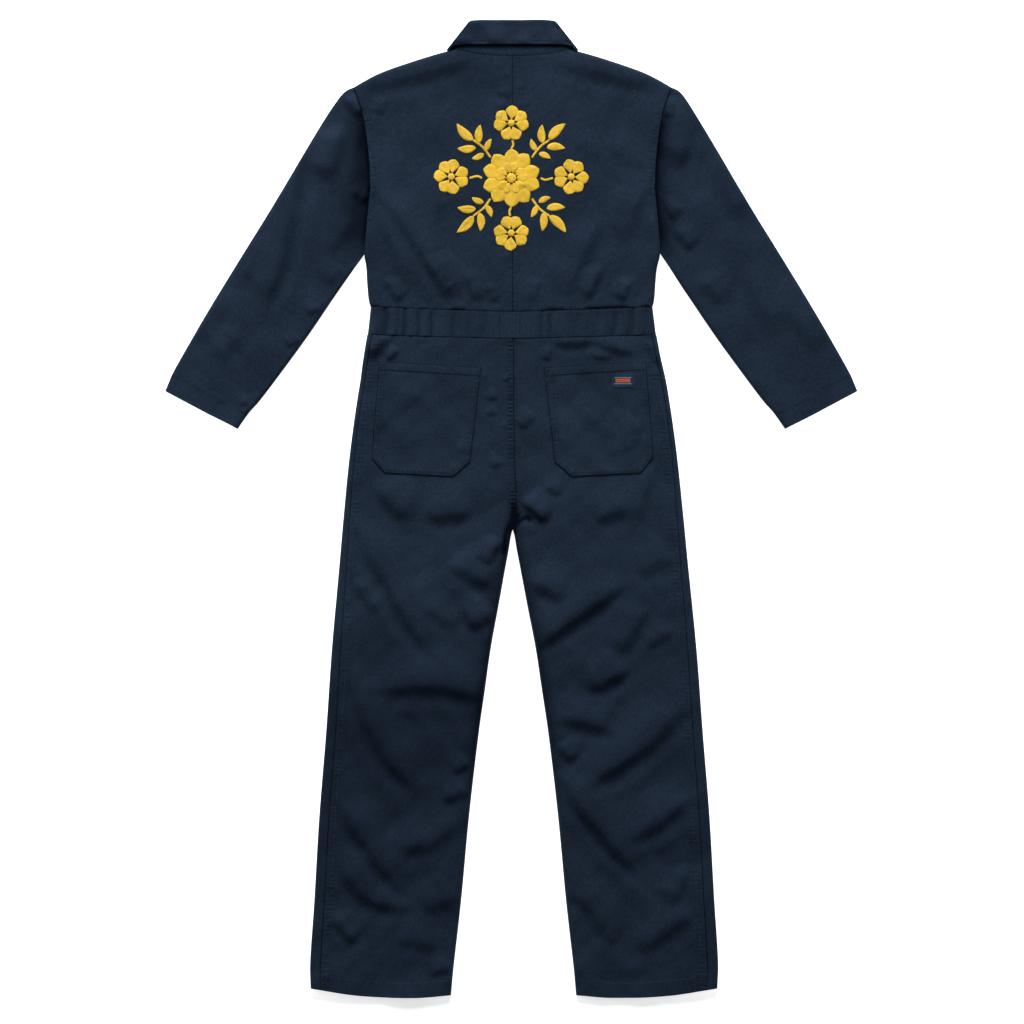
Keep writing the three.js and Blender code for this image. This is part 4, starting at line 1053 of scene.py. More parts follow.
legFolds = [
    ([(-196, 284), (-216, 262), (-233, 244)], 11, 2),
    ([(60, 270), (100, 268), (140, 272)], 10, 2.2),
    ([(124, 276), (158, 262), (204, 250)], 10, 2),
    ([(-231, 44), (-200, 5), (-168, -26)], 14, 1.8),
    ([(-150, -22), (-106, -14), (-60, -10)], 16, 2.4),
    ([(4, 10), (28, -6), (58, -24)], 12, 3),
    ([(130, -22), (165, -12), (200, -4)], 15, 2),
    ([(-272, -2), (-214, -108), (-134, -256)], 17, 3.2),
    ([(-112, -88), (-66, -114), (-22, -134)], 15, 2.4),
    ([(-76, -200), (-50, -184), (-26, -168)], 14, 2.4),
    ([(-258, -304), (-123, -294), (-28, -324)], 18, 3.4),
    ([(-270, -236), (-248, -330), (-206, -412), (-144, -482)], 16, 2.8),
    ([(-16, -50), (-30, -70), (-40, -96)], 8, 2.2),
    ([(-266, -112), (-244, -146), (-222, -180)], 10, 1.2),
    ([(-62, -494), (-140, -556), (-220, -538)], 16, 2.0),
    ([(-300, -462), (-250, -542), (-172, -646)], 15, 2.4),
    ([(-306, -540), (-244, -640), (-150, -656)], 15, 2.0),
    ([(-150, -662), (-118, -648), (-86, -636)], 14, 1.3),
    ([(-200, -704), (-158, -712), (-116, -720)], 14, 1.2),
    ([(270, -78), (233, -94), (198, -110)], 16, 1.8),
    ([(26, -240), (97, -186), (196, -116)], 15, 3.1),
    ([(18, -116), (54, -136), (92, -154)], 14, 2.2),
    ([(178, -248), (196, -204), (226, -156)], 14, 2),
    ([(112, -304), (156, -284), (200, -260)], 14, 2.4),
    ([(60, -347), (114, -352), (172, -373)], 15, 2.4),
    ([(306, -304), (212, -392), (100, -474)], 18, 3.2),
    ([(64, -424), (126, -512), (206, -608)], 15, 2.6),
    ([(300, -466), (236, -520), (180, -548)], 15, 1.9),
    ([(80, -616), (126, -662), (166, -722)], 15, 1.7),
    ([(300, -660), (250, -697), (200, -732)], 16, 1.7),
    ([(150, -757), (188, -759), (226, -757)], 12, 0.8),
    ([(-184, 263), (-194, 252), (-204, 240)], 6, 0.9),
    ([(122, 249), (146, 247), (169, 244)], 6, 0.9),
    ([(217, 276), (227, 254), (236, 232)], 7, 1.0),
    ([(63, 268), (61, 254), (60, 240)], 5, 0.8),
    ([(-16, 77), (-27, 71), (-38, 65)], 6, 0.8),
    ([(47, 33), (65, 28), (83, 21)], 8, 1.0),
    ([(236, 83), (218, 20), (204, -34)], 10, 1.0),
    ([(12, 126), (26, 142), (40, 154)], 8, 1.0),
    ([(-46, 182), (-34, 180), (-20, 184)], 6, 0.9),
    ([(-48, 158), (-34, 155), (-24, 160)], 6, 0.9),
    ([(-20, 216), (-13, 210), (-7, 208)], 4, 0.8),
    ([(-24, 136), (-15, 133), (-7, 136)], 4, 0.5),
    ([(-150, -157), (-118, -180), (-86, -199)], 11, 1.0),
    ([(-97, -435), (-83, -424), (-69, -415)], 9, 1.2),
    ([(-119, -482), (-94, -472), (-69, -461)], 10, 1.2),
    ([(-300, -659), (-281, -688), (-262, -718)], 10, 1.4),
    ([(-140, -765), (-118, -757), (-97, -749)], 9, 1.2),
    ([(267, -195), (241, -214), (215, -232)], 10, 1.2),
    ([(68, -381), (82, -400), (97, -419)], 9, 1.2),
    ([(289, -579), (276, -616), (262, -654)], 10, 1.2),
]
legSettings = {
    "outseam": {"dip": 1.0, "round": 0.9, "band": 11.0, "raise": 0.45, "rows": [10.4], "sink": 0.3,
                "pucker": 0.34, "pitch": 5.2, "reach": 5.2},
    "inseam": {"dip": 0.3, "round": 0.8, "rows": [], "sink": 0.2, "pucker": 0.3, "pitch": 9.0, "reach": 8.0},
    "seatSeam": {"dip": 1.1, "round": 0.9, "rows": [], "sink": 0.2, "pucker": 0.0},
    "seatBand": {"from": 0.9, "to": 10.4, "raise": 0.65, "rows": [2.6, 9.0], "sink": 0.3, "pucker": 0.34,
                 "pitch": 5.5, "middle": 6, "reach": 5.5},
    "topSeam": {"dip": 1.1, "round": 1.0, "rows": [], "sink": 0.2, "pucker": 0.35, "pitch": 12.0,
                "reach": 11.0},
    # the hem and its rows; hemShade, cleftShade and insideShade are painted shade in the hem's row, the
    # seat's cleft and along the insides of the legs
    "hem": 24.5, "hemRaise": 0.5, "hemSink": 0.3, "hemShade": 0.3, "cleftShade": 0.54, "insideShade": 0.5,
    # The front's columns where it steps down beside the placket, and where it stops
    "placketStep": (42, 40, 37, 34), "frontStop": 9.15,
    # Puckers beside the seat seam: strength and middle. The felled band on the left puckers most
    "seatPull": {-1: (1.7, 5.8), 1: (0.7, 1.0)},
    # Painted shade on the lower legs, where less light falls: how much darker, for each y
    "shins": {-1: [(-800, 0.04), (-600, 0.24), (-330, 0.36), (-130, 0), (290, 0)],
              1: [(-800, 0.12), (-300, 0.14), (-130, 0), (290, 0)]},
    "rumple": [(90, 0.9, 1.0), (42, 0.34, 1.0), (19, 0.12, 1.0), (9, 0.05, 1.0)],
    "backCut": {"width": 0.34, "length": 1.1, "area": 0.268},
    "frontCut": {"width": 0.36, "length": 1.1, "area": 0.292},
}


legLength = legLines["top"] - legLines["foot"]


def levelY(v):
    return legLines["top"] - legLength * v


def legY(v, x):
    atTop = tableValue(bodyLines["bandFoot"], x) - gap - legLines["top"]
    atHem = tableValue(legLines["hem"], x) - legLines["foot"]
    return levelY(v) + atTop * (1 - smoothStep(v, 0, 0.12)) + atHem * smoothStep(v, 0.85, 1)


def innerX(y):
    return np.where(y > legLines["crotch"], 0, np.maximum(tableValue(legLines["inner"], y), 0))


def outseamX(y):
    return tableValue(legLines["outer"], y) - tableValue(legLines["wrap"], y)


def hemLean(y):  # both legs lean a little to one side towards the hems
    return 1.8 * smoothStep(-y, -100, 400)


def seatX(x, y):  # the seat seam runs a little to one side. x is signed
    return x + tableValue(legLines["seatShift"], y) * bell(x, 45) + hemLean(y)


def legLevel(side, x, y):  # the laid cloth and its folds, without seams
    z = tableValue(loft, y) + foldsAt(legFolds, side * x, y, 1.2)
    return softTop(softFloor(z + rumple(side * x, y, 61, legSettings["rumple"])))


def legEdges(x, y):  # distances inwards from the outseam, down from the waistband and up from the hem
    return (outseamX(y) - x, np.maximum(tableValue(bodyLines["bandFoot"], x) - y, 0),
            y - tableValue(legLines["hem"], x))


def hemRelief(side, x, y):
    s = legSettings
    above = legEdges(x, y)[2]
    z = s["hemRaise"] * (1 - smoothStep(above, s["hem"] - 0.8, s["hem"] + 1.2))
    z = z - s["hemSink"] * bell(above - s["hem"] + 1, rowWidth)
    return z + 0.12 * ripple(x, 8, 71 + side) * bell(above - s["hem"], 5)


crotchDepth = 2.6
# Where the cloth is folded deep into the crotch, with painted shade in the folds. Columns: points, width,
# shade
crotchFolds = [
    ([(-4, 24), (-6, 6), (-8, -18), (-11, -40), (-15, -72)], 4.0, 0.9),
    ([(-3, 12), (-4, -4), (-6, -18), (-6, -36)], 7.5, 0.95),
    ([(3, -12), (2, -24), (0, -36)], 7.0, 0.92),
    ([(6, 10), (18, 1), (32, -9), (44, -17)], 6.0, 0.6),
    ([(4, -26), (10, -18), (18, -15), (25, -18)], 4.5, 0.95),
]


def crotchShade(x, y):  # painted shade in the crotch's folds, which also sets how deep they sink. x is signed
    shade = np.zeros(x.shape)
    near = (np.abs(x) < 70) & (y < 40) & (y > -100)
    for points, width, deep in crotchFolds:
        away = nearLine(smoothPoints(points, 8), x[near], y[near])[0]
        shade[near] = np.maximum(shade[near], deep * bell(away, width))
    return shade * (1 - smoothStep(y, -6, 30))


def legHeight(side, x, y):
    s = legSettings
    z = legLevel(side, x, y) + hemRelief(side, x, y)
    fromOutseam, fromTop, _ = legEdges(x, y)
    z = z + seamRelief(np.maximum(fromOutseam, 0), y, s["outseam"], 73 + side)
    z = z + seamRelief(fromTop, x, s["topSeam"], 75 + side)
    onSeat = smoothStep(y, -40, -20)
    z = z + onSeat * seamRelief(x, y, s["seatSeam"], 77)
    if side < 0:  # the felled band lies on the left of the seat seam
        b = s["seatBand"]
        band = smoothStep(x, b["from"], b["from"] + 0.8) * (1 - smoothStep(x, b["to"] - 0.6, b["to"] + 1.0))
        z = z + onSeat * b["raise"] * band
        for row in b["rows"]:
            z = z - onSeat * b["sink"] * bell(x - row, narrowRow)
        z = z + onSeat * b["pucker"] * ripple(y, b["pitch"], 79) * bell(x - b["middle"], b["reach"])
    openSeam = 1 - smoothStep(y, -60, -35)
    z = z - crotchDepth * crotchShade(side * x, y)
    return z + openSeam * seamRelief(np.maximum(x - innerX(y), 0), y, s["inseam"], 81 + side)


def legPull(side, x, y):
    s = legSettings
    onSeat = smoothStep(y, -30, 0)
    fromOutseam, fromTop, above = legEdges(x, y)
    strength, middle = s["seatPull"][side]
    return pullAt((fromOutseam, y + 55 * side, 9.0, 6.0, 0.75),
                  (x + 60 * (1 - onSeat), y, middle, 4.2, strength),
                  (fromTop, x, 1.0, 7.0, 0.6), (above, x + 300, s["hem"] - 3, 5.0, 0.4),
                  (x - innerX(y), y + 333, 2.0, 7.0, 0.35))


def legShade(side, x, y):  # painted shade where the crotch and the insides of the legs are closed in, in the seams and rows, and on the lower legs
    s = legSettings
    cleft = s["cleftShade"] * bell(x, 5) * smoothStep(-y, -10, 24) * (1 - smoothStep(-y, 60, 150))
    inside = s["insideShade"] * bell(x - innerX(y), 13) * smoothStep(-y, 20, 60)
    inside = inside * (1 - smoothStep(-y, 300, 560))
    onSeat = smoothStep(y, -40, -20)
    fromOutseam, fromTop, above = legEdges(x, y)
    seams = np.maximum(seamShade(fromOutseam), onSeat * seamShade(x, deep=0.7, wide=0.8))
    seams = np.maximum(seams, seamShade(fromTop, deep=0.9, wide=1.1))
    seams = np.maximum(seams, s["hemShade"] * bell(above - s["hem"] + 1, rowWidth))
    if side < 0:
        for row in s["seatBand"]["rows"]:
            seams = np.maximum(seams, onSeat * 0.5 * bell(x - row, narrowRow))
    deep = crotchShade(side * x, y) + cleft + inside
    return np.clip(np.maximum(deep, seams) + tableValue(s["shins"][side], y), 0, 0.97)


# Rows down a leg: closer near the top, and closest where the hem is turned and stitched
legTopRows = np.r_[0, 0.4, 0.9, 1.6, np.arange(2.8, 320, 2.2), np.arange(321, 1038, 3.3)]
legHemRows = np.array([38, 34, 30, 27.2, 26.3, 25.5, 24.7, 23.8, 20, 15, 10, 6, 3.5, 2, 1, 0.4, 0])
legRows = np.r_[legTopRows / legLength, 1 - legHemRows / legLength]


def makeLegBack(side, word):
    level = levelY(legRows)
    a, b = innerX(level), outseamX(level)
    us = shareRows(b - a, int(206 / cloth["cell"]), rowSteps(turnSteps, 9.6), rowSteps(seamSteps, 10.4))
    x = a[:, None] + (b - a)[:, None] * us
    y = legY(legRows[:, None], x)
    full = legHeight(side, x, y)
    opened = smoothStep(-level, 25, 75)[:, None]
    hang = full + (foot - full) * opened
    z = hang + (full - hang) * fall((b - a)[:, None] * us)
    shade = legShade(side, x, y)
    pull = legPull(side, x, y)
    x = x + np.where(us == 0, gap / 2, np.where(us == 1, -gap / 2, 0))
    x = x + widen(side, x, y, tableValue(legLines["outer"], y))
    grid = np.stack([seatX(side * x, y), y, z], -1)
    clothPiece(f"legBack{word}", f"leg_back_{word.lower()}", grid, twillBody, legSettings["backCut"],
               [f"legFront{word}"], shade=shade, pull=pull, flip=-side,
               free={"start": smoothStep(-level, 35, 75)})


def makeLegFront(side, word):
    v = np.unique(np.r_[legRows[::2], 1])
    level = levelY(v)
    a, out, sewn = innerX(level), tableValue(legLines["outer"], level), outseamX(level)
    onTop = np.stack([sewn, sewn + 0.5, sewn + 1.3, (sewn + out - roll) / 2, out - roll + 0.01, out - 4,
                      out - 2.6, out - 1.5, out - 0.7, out - 0.2], -1)
    between = np.linspace(0, 1, 12)[None, 1:-1]
    start, *step = legSettings["placketStep"]
    onFloor = np.hstack([
        np.stack([out - 0.2, out - 0.7, out - 1.5, out - 3, out - roll], -1),
        (out - roll)[:, None] + (a + start - out + roll)[:, None] * between,
        np.stack([*(a + away for away in step), a], -1)])
    yTop = legY(v[:, None], onTop)
    full = legLevel(side, onTop, yTop) + hemRelief(side, onTop, yTop)
    full = full + seamRelief(onTop - sewn[:, None], yTop, legSettings["seatSeam"], 83)
    zTop = full / 2 + full / 2 * fall(out[:, None] - onTop)
    shiftTop = onTop + np.where(np.arange(onTop.shape[1]) == 0, gap / 2, 0)
    middle = zTop[:, 4:5] / 2
    yLow = legY(v[:, None], onFloor)
    turned = middle * (1 - fall(out[:, None] - onFloor))
    zLow = np.maximum(turned, underside(onFloor, yLow))
    stop = legSettings["frontStop"]
    lastColumn = np.arange(onFloor.shape[1]) == onFloor.shape[1] - 1
    shiftLow = onFloor + np.where(lastColumn, np.where(yLow > -20, stop, gap / 2), 0)
    shiftTop = shiftTop + widen(side, shiftTop, yTop, out[:, None])
    shiftLow = shiftLow + widen(side, shiftLow, yLow, out[:, None])
    far = out + widen(side, out, legY(v, out), out)
    over = np.stack([seatX(side * shiftTop, yTop), yTop, zTop], -1)
    turn = np.stack([seatX(side * far, levelY(v)), legY(v, out), middle[:, 0]], -1)[:, None]
    under = np.stack([side * shiftLow + hemLean(yLow), yLow, zLow], -1)
    grid = np.concatenate([over, turn, under], 1)
    # painted shade on the lower legs
    shade = tableValue(legSettings["shins"][side], grid[..., 1])
    clothPiece(f"legFront{word}", f"leg_front_{word.lower()}", grid, twillBody,
               legSettings["frontCut"], ["frontPlacket"], shade=shade, flip=-side)


# Patch pockets on the back of the legs
pocketSettings = {
    # Columns: distance out from centre back, y
    "top": [(52, 231), (218, 241)], "foot": [(69.5, 77), (97, 53), (209, 59), (230, 84)],
    "lift": 1.75, "pressed": 0.45, "hem": 13.0, "hemRaise": 0.45, "rows": [1.6, 8.2], "sink": 0.22,
    "raise": 0.4, "pucker": 0.3, "pitch": 6.5, "topRow": 1.8, "corners": [0.197, 0.826],
    "folds": [
        ([(-190, 200), (-175, 178), (-160, 160)], 12, 0.5),
        ([(-96, 100), (-76, 92), (-66, 88)], 8, 0.7),
        ([(-204, 128), (-180, 108), (-150, 96)], 14, 0.5),
        ([(62, 200), (84, 180), (96, 170)], 12, 0.5),
        ([(176, 112), (200, 128), (216, 140)], 12, 1.1),
        ([(182, 92), (200, 106), (214, 116)], 8, 0.7),
        ([(120, 150), (150, 130), (176, 122)], 16, 0.4),
    ],
    "rumple": [(52, 0.5, 1.2), (24, 0.15, 1.0), (11, 0.05, 1.0)],
    "cut": {"width": 0.18, "length": 0.2, "area": 0.031},
}


def openingRows(s):  # two rows of stitches hold the turned top of a pocket
    return s["topRow"], s["hem"] - s["topRow"]


def pocketPlace():
    s = pocketSettings
    top, low = s["top"], s["foot"]
    return patch(bentLine(top), bentLine(low), bentLine([top[0], low[0]]), bentLine([top[1], low[3]]))


def pocketEdges(x, y):
    s = pocketSettings
    away, run = nearLine(np.array([s["top"][0], *s["foot"], s["top"][1]], float), x, y)
    return away, run, np.interp(x, *zip(*s["top"])) - y


# Painted shade along the pocket's sewn edge and rows, its turned top and the hem's row
def pocketShade(x, y):
    s = pocketSettings
    away, _, fromTop = pocketEdges(x, y)
    shade = np.maximum(seamShade(away, s["rows"], 0.95, 1.1), seamShade(fromTop, deep=0.6))
    shade = np.maximum(shade, 0.5 * bell(fromTop - s["hem"], 1.2))
    return np.clip(shade, 0, 0.95)


def pocketPull(side, x, y):
    away, run, fromTop = pocketEdges(x, y)
    return pullAt((away, run + 90 * side, 6.5, 5.0, 0.7 * smoothStep(fromTop, 6, 20)),
                  (fromTop, x, 9.0, 4.0, 0.4))


def pocketHeight(side, x, y):
    s = pocketSettings
    away, run, fromTop = pocketEdges(x, y)
    z = legLevel(side, x, y) + s["lift"] + foldsAt(s["folds"], side * x, y)
    z = z + rumple(side * x, y, 91, s["rumple"]) * smoothStep(away, 2, 16)
    z = z - s["pressed"] * np.exp(-away / 1.2) - 0.25 * np.exp(-np.abs(fromTop) / 1.0)
    z = z + s["raise"] * (1 - smoothStep(away, s["rows"][1] - 0.6, s["rows"][1] + 1.4))
    z = z + s["hemRaise"] * (1 - smoothStep(fromTop, s["hem"] - 0.8, s["hem"] + 0.8))
    for row in s["rows"]:
        z = z - s["sink"] * bell(away - row, narrowRow) * smoothStep(fromTop, 1, 3)
    for row in openingRows(s):
        z = z - s["sink"] * bell(fromTop - row, narrowRow)
    return z + s["pucker"] * ripple(run, s["pitch"], 93 + side) * bell(away - 6, 4.5)


def makePocket(side, word):
    us = shareRows([165], 46, rowSteps(turnSteps[:5], 8.2), rowSteps(turnSteps[:5], 8.2))[0]
    vs = shareRows([178], 48, rowSteps(turnSteps[:5], 11.2, 13.2), rowSteps(turnSteps[:5], 8.2))[0]
    us = np.sort(np.r_[us, pocketSettings["corners"]])  # a column at each clipped corner
    xy = pocketPlace()(us[None] + 0 * vs[:, None], vs[:, None] + 0 * us[None])
    x, y = xy[..., 0], xy[..., 1]
    grid = np.stack([side * x, y, pocketHeight(side, x, y)], -1)
    clothPiece(f"pocket{word}", f"pocket_{word.lower()}", grid, twillBody, pocketSettings["cut"],
               [f"legBack{word}"], shade=pocketShade(x, y), pull=pocketPull(side, x, y), flip=-side,
               thick=1.1)


# Small woven patch with plain bands
labelSettings = {"left": 162, "right": 199, "top": 221, "foot": 198, "lift": 1.0, "stitch": 1.4,
                 "cut": {"width": 0.037, "length": 0.023, "area": 0.00084}}


def fromEdges(x, y, left, right, top, low):  # distance inwards from the nearest edge of an upright rectangle
    return np.minimum(np.minimum(x - left, right - x), np.minimum(top - y, y - low))


def labelHeight(x, y):
    return pocketHeight(1, x, y) + labelSettings["lift"]


def makeLabel():
    s = labelSettings
    x, y = np.meshgrid(np.linspace(s["left"], s["right"], 40), np.linspace(s["top"], s["foot"], 26))
    edge = fromEdges(x, y, s["left"], s["right"], s["top"], s["foot"])
    z = labelHeight(x, y) - 0.35 * np.exp(-edge / 0.7)
    clothPiece("wovenPatch", "pocket_label", np.stack([x, y, z], -1), patchMaterial(patchSettings), s["cut"],
               ["pocketRight"], slotName="woven_patch", flip=-1, thick=0.6)


# Collar: both pieces run right round the neck, open at the centre front
collarSettings = {
    "leafFold": [(12, 703), (38, 715), (57, 745), (70.5, 797)],
    "leafEdge": [(75, 642), (101, 690), (107, 750.5)],
    "leafHeight": 12.6, "standHeight": 8.3, "stitch": 6.5, "stitchSink": 0.12,
    "standDepth": 54, "leafDepth": 40, "leafFoot": 760,
    "standSeam": [(8, 669), (30, 673), (59, 686.5), (82.8, 716), (90.8, 752.6)],
    "standFold": [(10, 702), (37, 714), (55, 744), (65.5, 793)],
    "neckEdge": [(91, 751.6), (79, 748), (46, 742.6), (0, 740.8)],
    "standCrown": [(65.5, 793), (58, 795), (0, 795)],
    "leafCrown": [(70.5, 797), (66, 798.8), (40, 800), (0, 799.4)],
    "leafLow": [(107, 750.5), (100, 755.5), (88, 758.6), (62, 759.8), (0, 760)],
    "leafCut": {"width": 0.56, "length": 0.09, "area": 0.0245},
    "standCut": {"width": 0.5, "length": 0.06, "area": 0.0182},
}


def ringGrid(front, back, turn, low, high, ts, relief=None):
    s1, s2 = np.linspace(0, 1, 14), np.r_[0.03, 0.06, np.linspace(0.1, 1, 46)]
    rows = []
    for t in ts:
        top = high(t)
        under = [(*p, low) for p in front(s1, t)]
        end = front(np.array([1.0]), t)[0]
        sides = []
        for d, k in turn["steps"]:
            reach = turn["out"] - d
            sides.append((end[0] + turn["x"] * reach, end[1] + turn["y"] * reach, low + (top - low) * k))
        over = np.array([(*p, top) for p in back(s2, t)])
        if relief:
            over[:, 2] += relief(over[:, 0], over[:, 1], t)
        left = np.vstack([under, sides, over])
        right = left[-2::-1] * [-1, 1, 1]
        if relief:  # the other side is uneven in its own way
            mask = np.arange(len(right)) < len(over) - 1
            right[mask, 2] = top + relief(right[mask, 0], right[mask, 1], t)
        rows.append(np.vstack([left, right]))
    return np.array(rows)


turnUp = [(2.4, 0.18), (1.2, 0.28), (0.4, 0.4), (0, 0.5), (0.4, 0.6), (1.2, 0.72), (2.4, 0.82), (3.6, 0.93)]


def makeCollarStand():
    s = collarSettings
    seamLine, foldLine = curve(s["standSeam"]), curve(s["standFold"])
    neck, crown = curve(s["neckEdge"]), bentLine(s["standCrown"])
    front = lambda p, t: (1 - t) * seamLine(p) + t * foldLine(p)
    back = lambda p, t: (1 - t) * neck(p) + t * crown(p)

    def relief(x, y, t):
        fromSeam = t * s["standDepth"]
        rows = 0.2 * bell(fromSeam - 3, 1.0) + 0.5 * math.exp(-fromSeam / 0.9)
        return rumple(x, y, 101, [(30, 0.15, 1.0), (12, 0.05, 1.0)]) - rows

    ts = shareRows([s["standDepth"]], 14, seamSteps, [0, 1.0])[0]
    grid = ringGrid(front, back, {"x": 0.9, "y": 0.43, "out": 3.4, "steps": turnUp}, lapHeight,
                    lambda t: s["standHeight"], ts, relief)
    fromNeck = nearLine(neckChain, np.abs(grid[..., 0]), grid[..., 1])[0]
    onBack = smoothStep(grid[..., 1], 735, 742)
    # painted shadow on the stand under the leaf's edge, and painted shade at the neck seam and its row
    underLeaf = 0.96 * smoothStep(grid[..., 1], 752, 756.5)
    shade = np.clip(onBack * np.maximum(underLeaf, seamShade(fromNeck, [3.0], 0.8)), 0, 0.97)
    pull = pullAt((fromNeck, grid[..., 0], 3.5, 4.0, 0.6))
    clothPiece("collarStand", "collar_stand", grid, twillAcross, s["standCut"],
               ["upperFrontLeft", "upperFrontRight"], shade=shade, pull=pull, flip=-1)


def makeCollarLeaf():
    s = collarSettings
    foldLine, edgeLine = curve(s["leafFold"]), curve(s["leafEdge"])
    crown, edge = curve(s["leafCrown"]), curve(s["leafLow"])
    front = lambda p, t: (1 - t) * foldLine(p) + t * edgeLine(p)
    back = lambda p, t: (1 - t) * crown(p) + t * edge(p)
    low = s["standHeight"] + 0.6
    high = lambda t: low + (s["leafHeight"] - low) * float(fall(np.array(t * s["leafDepth"])))

    def relief(x, y, t):
        fromEdge = (1 - t) * s["leafDepth"]
        z = rumple(x, y, 103, [(60, 1.1, 0.7), (24, 0.3, 1.0)]) * min(1, fromEdge / 6 + 0.2)
        z = z - s["stitchSink"] * bell(fromEdge - s["stitch"], rowWidth) - 0.5 * math.exp(-fromEdge / 0.7)
        return z + 0.1 * ripple(x, 6, 105) * bell(fromEdge - s["stitch"], 3)

    steps = [row for row in turnUp if row[1] > 0.5 or row[0] < 1]
    grid = ringGrid(front, back, {"x": 0.79, "y": 0.61, "out": 1, "steps": steps}, 0, high,
                    shareRows([s["leafDepth"]], 16, turnSteps, turnSteps[:5])[0], relief)
    fromEdge = grid[..., 1] - s["leafFoot"]
    # painted shade in the leaf's stitch row
    shade = 0.16 * bell(fromEdge - s["stitch"], rowWidth) * (np.abs(grid[..., 0]) < 96)
    pull = pullAt((np.abs(fromEdge), grid[..., 0], s["stitch"], 4.0, 0.5))
    clothPiece("collarLeaf", "collar_leaf", grid, twillAcross, s["leafCut"], ["collarStand"],
               shade=shade, pull=pull, flip=1)


# Plain front closure, under everything else
closureSettings = {
    "placket": {"half": 30, "top": 664, "foot": 25, "at": 0,
                "cut": {"width": 0.06, "length": 0.64, "area": 0.0383}},
    "zip": {"half": 9, "top": 662, "foot": 30, "at": lapHeight,
            "cut": {"width": 0.018, "length": 0.632, "area": 0.0113}},
}


def makeStrip(name, node, s, material, slotName, restsOn):
    v = np.linspace(0, 1, 60)
    u = np.r_[-1, -0.94, np.linspace(-0.8, 0.8, 7), 0.94, 1]
    us, vs = np.meshgrid(u, v)
    ribs = 0.08 * np.cos(np.clip(np.abs(us) - 0.86, 0, 0.14) / 0.14 * math.pi) - 0.08
    grid = np.stack([us * s["half"], s["top"] + (s["foot"] - s["top"]) * vs, s["at"] + wall + ribs], -1)
    clothPiece(name, node, grid, material, s["cut"], restsOn, slotName=slotName, flip=-1,
               thick=wall - 0.1)


# Sewing thread: short stitches, each a small arch lying on the cloth

stitchSettings = {"pitch": 3.2, "length": 2.7, "width": 0.42, "rise": 0.3}
# Rings along a stitch. Columns: share of half its length, share of its width, share of its rise
stitchRings = [(-1, 0.25, -0.15), (-0.62, 1, 0.62), (0, 1, 1), (0.62, 1, 0.62), (1, 0.25, -0.15)]


def stitchesAlong(line, heightAt, s, pitch=None):
    # Stitches at even steps along a line. heightAt gives the cloth's height at each place
    points = np.asarray(line, float)
    run = runAlong(points)
    count = max(int(run[-1] / (pitch or s["pitch"])), 1)
    middle = (np.arange(count) + 0.5) * run[-1] / count
    half = s["length"] / s["pitch"] * run[-1] / count / 2
    at = lambda d: np.stack([np.interp(d, run, points[:, k]) for k in range(2)], -1)
    rings = []
    for share, wide, arch in stitchRings:
        spot = at(middle + share * half)
        ahead = at(middle + share * half + 0.2) - at(middle + share * half - 0.2)
        across = np.stack([-ahead[:, 1], ahead[:, 0]], -1) / np.linalg.norm(ahead, axis=1)[:, None]
        z = heightAt(spot[:, 0], spot[:, 1])
        left, right = spot + across * s["width"] * wide, spot - across * s["width"] * wide
        low, top = z - 0.3, s["rise"] * arch
        corners = [(*left.T, low), (*left.T, z + top * 0.55), (*spot.T, z + top), (*right.T, z + top * 0.55),
                   (*right.T, low)]
        rings.append(np.stack([np.stack(c, -1) for c in corners], 1))
    points = np.stack(rings, 1)  # stitch, ring, corner
    n = points.shape[2]
    last = len(stitchRings) - 1
    first = (np.arange(count) * (last + 1) * n)[:, None]
    quads = []
    for r in range(last):
        for c in range(n):
            d = (c + 1) % n
            quads.append(first + [[r * n + c, (r + 1) * n + c, (r + 1) * n + d, r * n + d]])
    end = last * n
    caps = [[0, 1, 2, 3], [0, 3, 4, 0], [end + 3, end + 2, end + 1, end], [end, end + 4, end + 3, end]]
    for cap in caps:
        quads.append(first + [cap])
    return points.reshape(-1, 3), np.vstack(quads)


def layThreads(mesh, run):  # the run of the threads at each point, in mm, as the mesh's own u
    uv = mesh.uv_layers.new(name="threads")
    loops = np.empty(len(mesh.loops), int)
    mesh.loops.foreach_get("vertex_index", loops)
    along = run[loops] * mm
    uv.data.foreach_set("uv", np.stack([along, along], -1).ravel())


def threadObject(name, rows):  # all the stitches of one kind, in navy thread
    points, quads = joinParts(rows)
    faces = [q if q[0] != q[3] else q[:3] for q in quads.tolist()]
    mesh = bpy.data.meshes.new(name)
    mesh.from_pydata((points * mm).tolist(), [], faces)
    mesh.polygons.foreach_set("use_smooth", np.ones(len(mesh.polygons), bool))
    layThreads(mesh, points[:, 0] + points[:, 1])
    mesh.materials.append(navyThread)
    piece = bpy.data.objects.new(name, mesh)
    bpy.context.scene.collection.objects.link(piece)
    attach(piece, "root")


def shifted(line, away):  # a line moved sideways, to its left
    p = np.asarray(line, float)
    step = np.gradient(p, axis=0)
    step /= np.linalg.norm(step, axis=1)[:, None]
    return p + away * np.stack([-step[:, 1], step[:, 0]], -1)


def mirrored(side, line):
    return np.asarray(line) * [side, 1]


def insetLine(corners, away):  # a row of straight lines moved inwards, to the left of its run
    p = np.asarray(corners, float)
    d = np.diff(p, axis=0)
    d /= np.linalg.norm(d, axis=1)[:, None]
    side = np.stack([-d[:, 1], d[:, 0]], -1) * away
    out = [p[0] + side[0]]
    for k in range(1, len(p) - 1):
        a, b = d[k - 1], d[k]
        base = p[k] + side[k - 1]
        target = p[k] + side[k]
        t = np.cross(target - base, b) / np.cross(a, b)
        out.append(base + a * t)
    return np.array(out + [p[-1] + side[-1]])


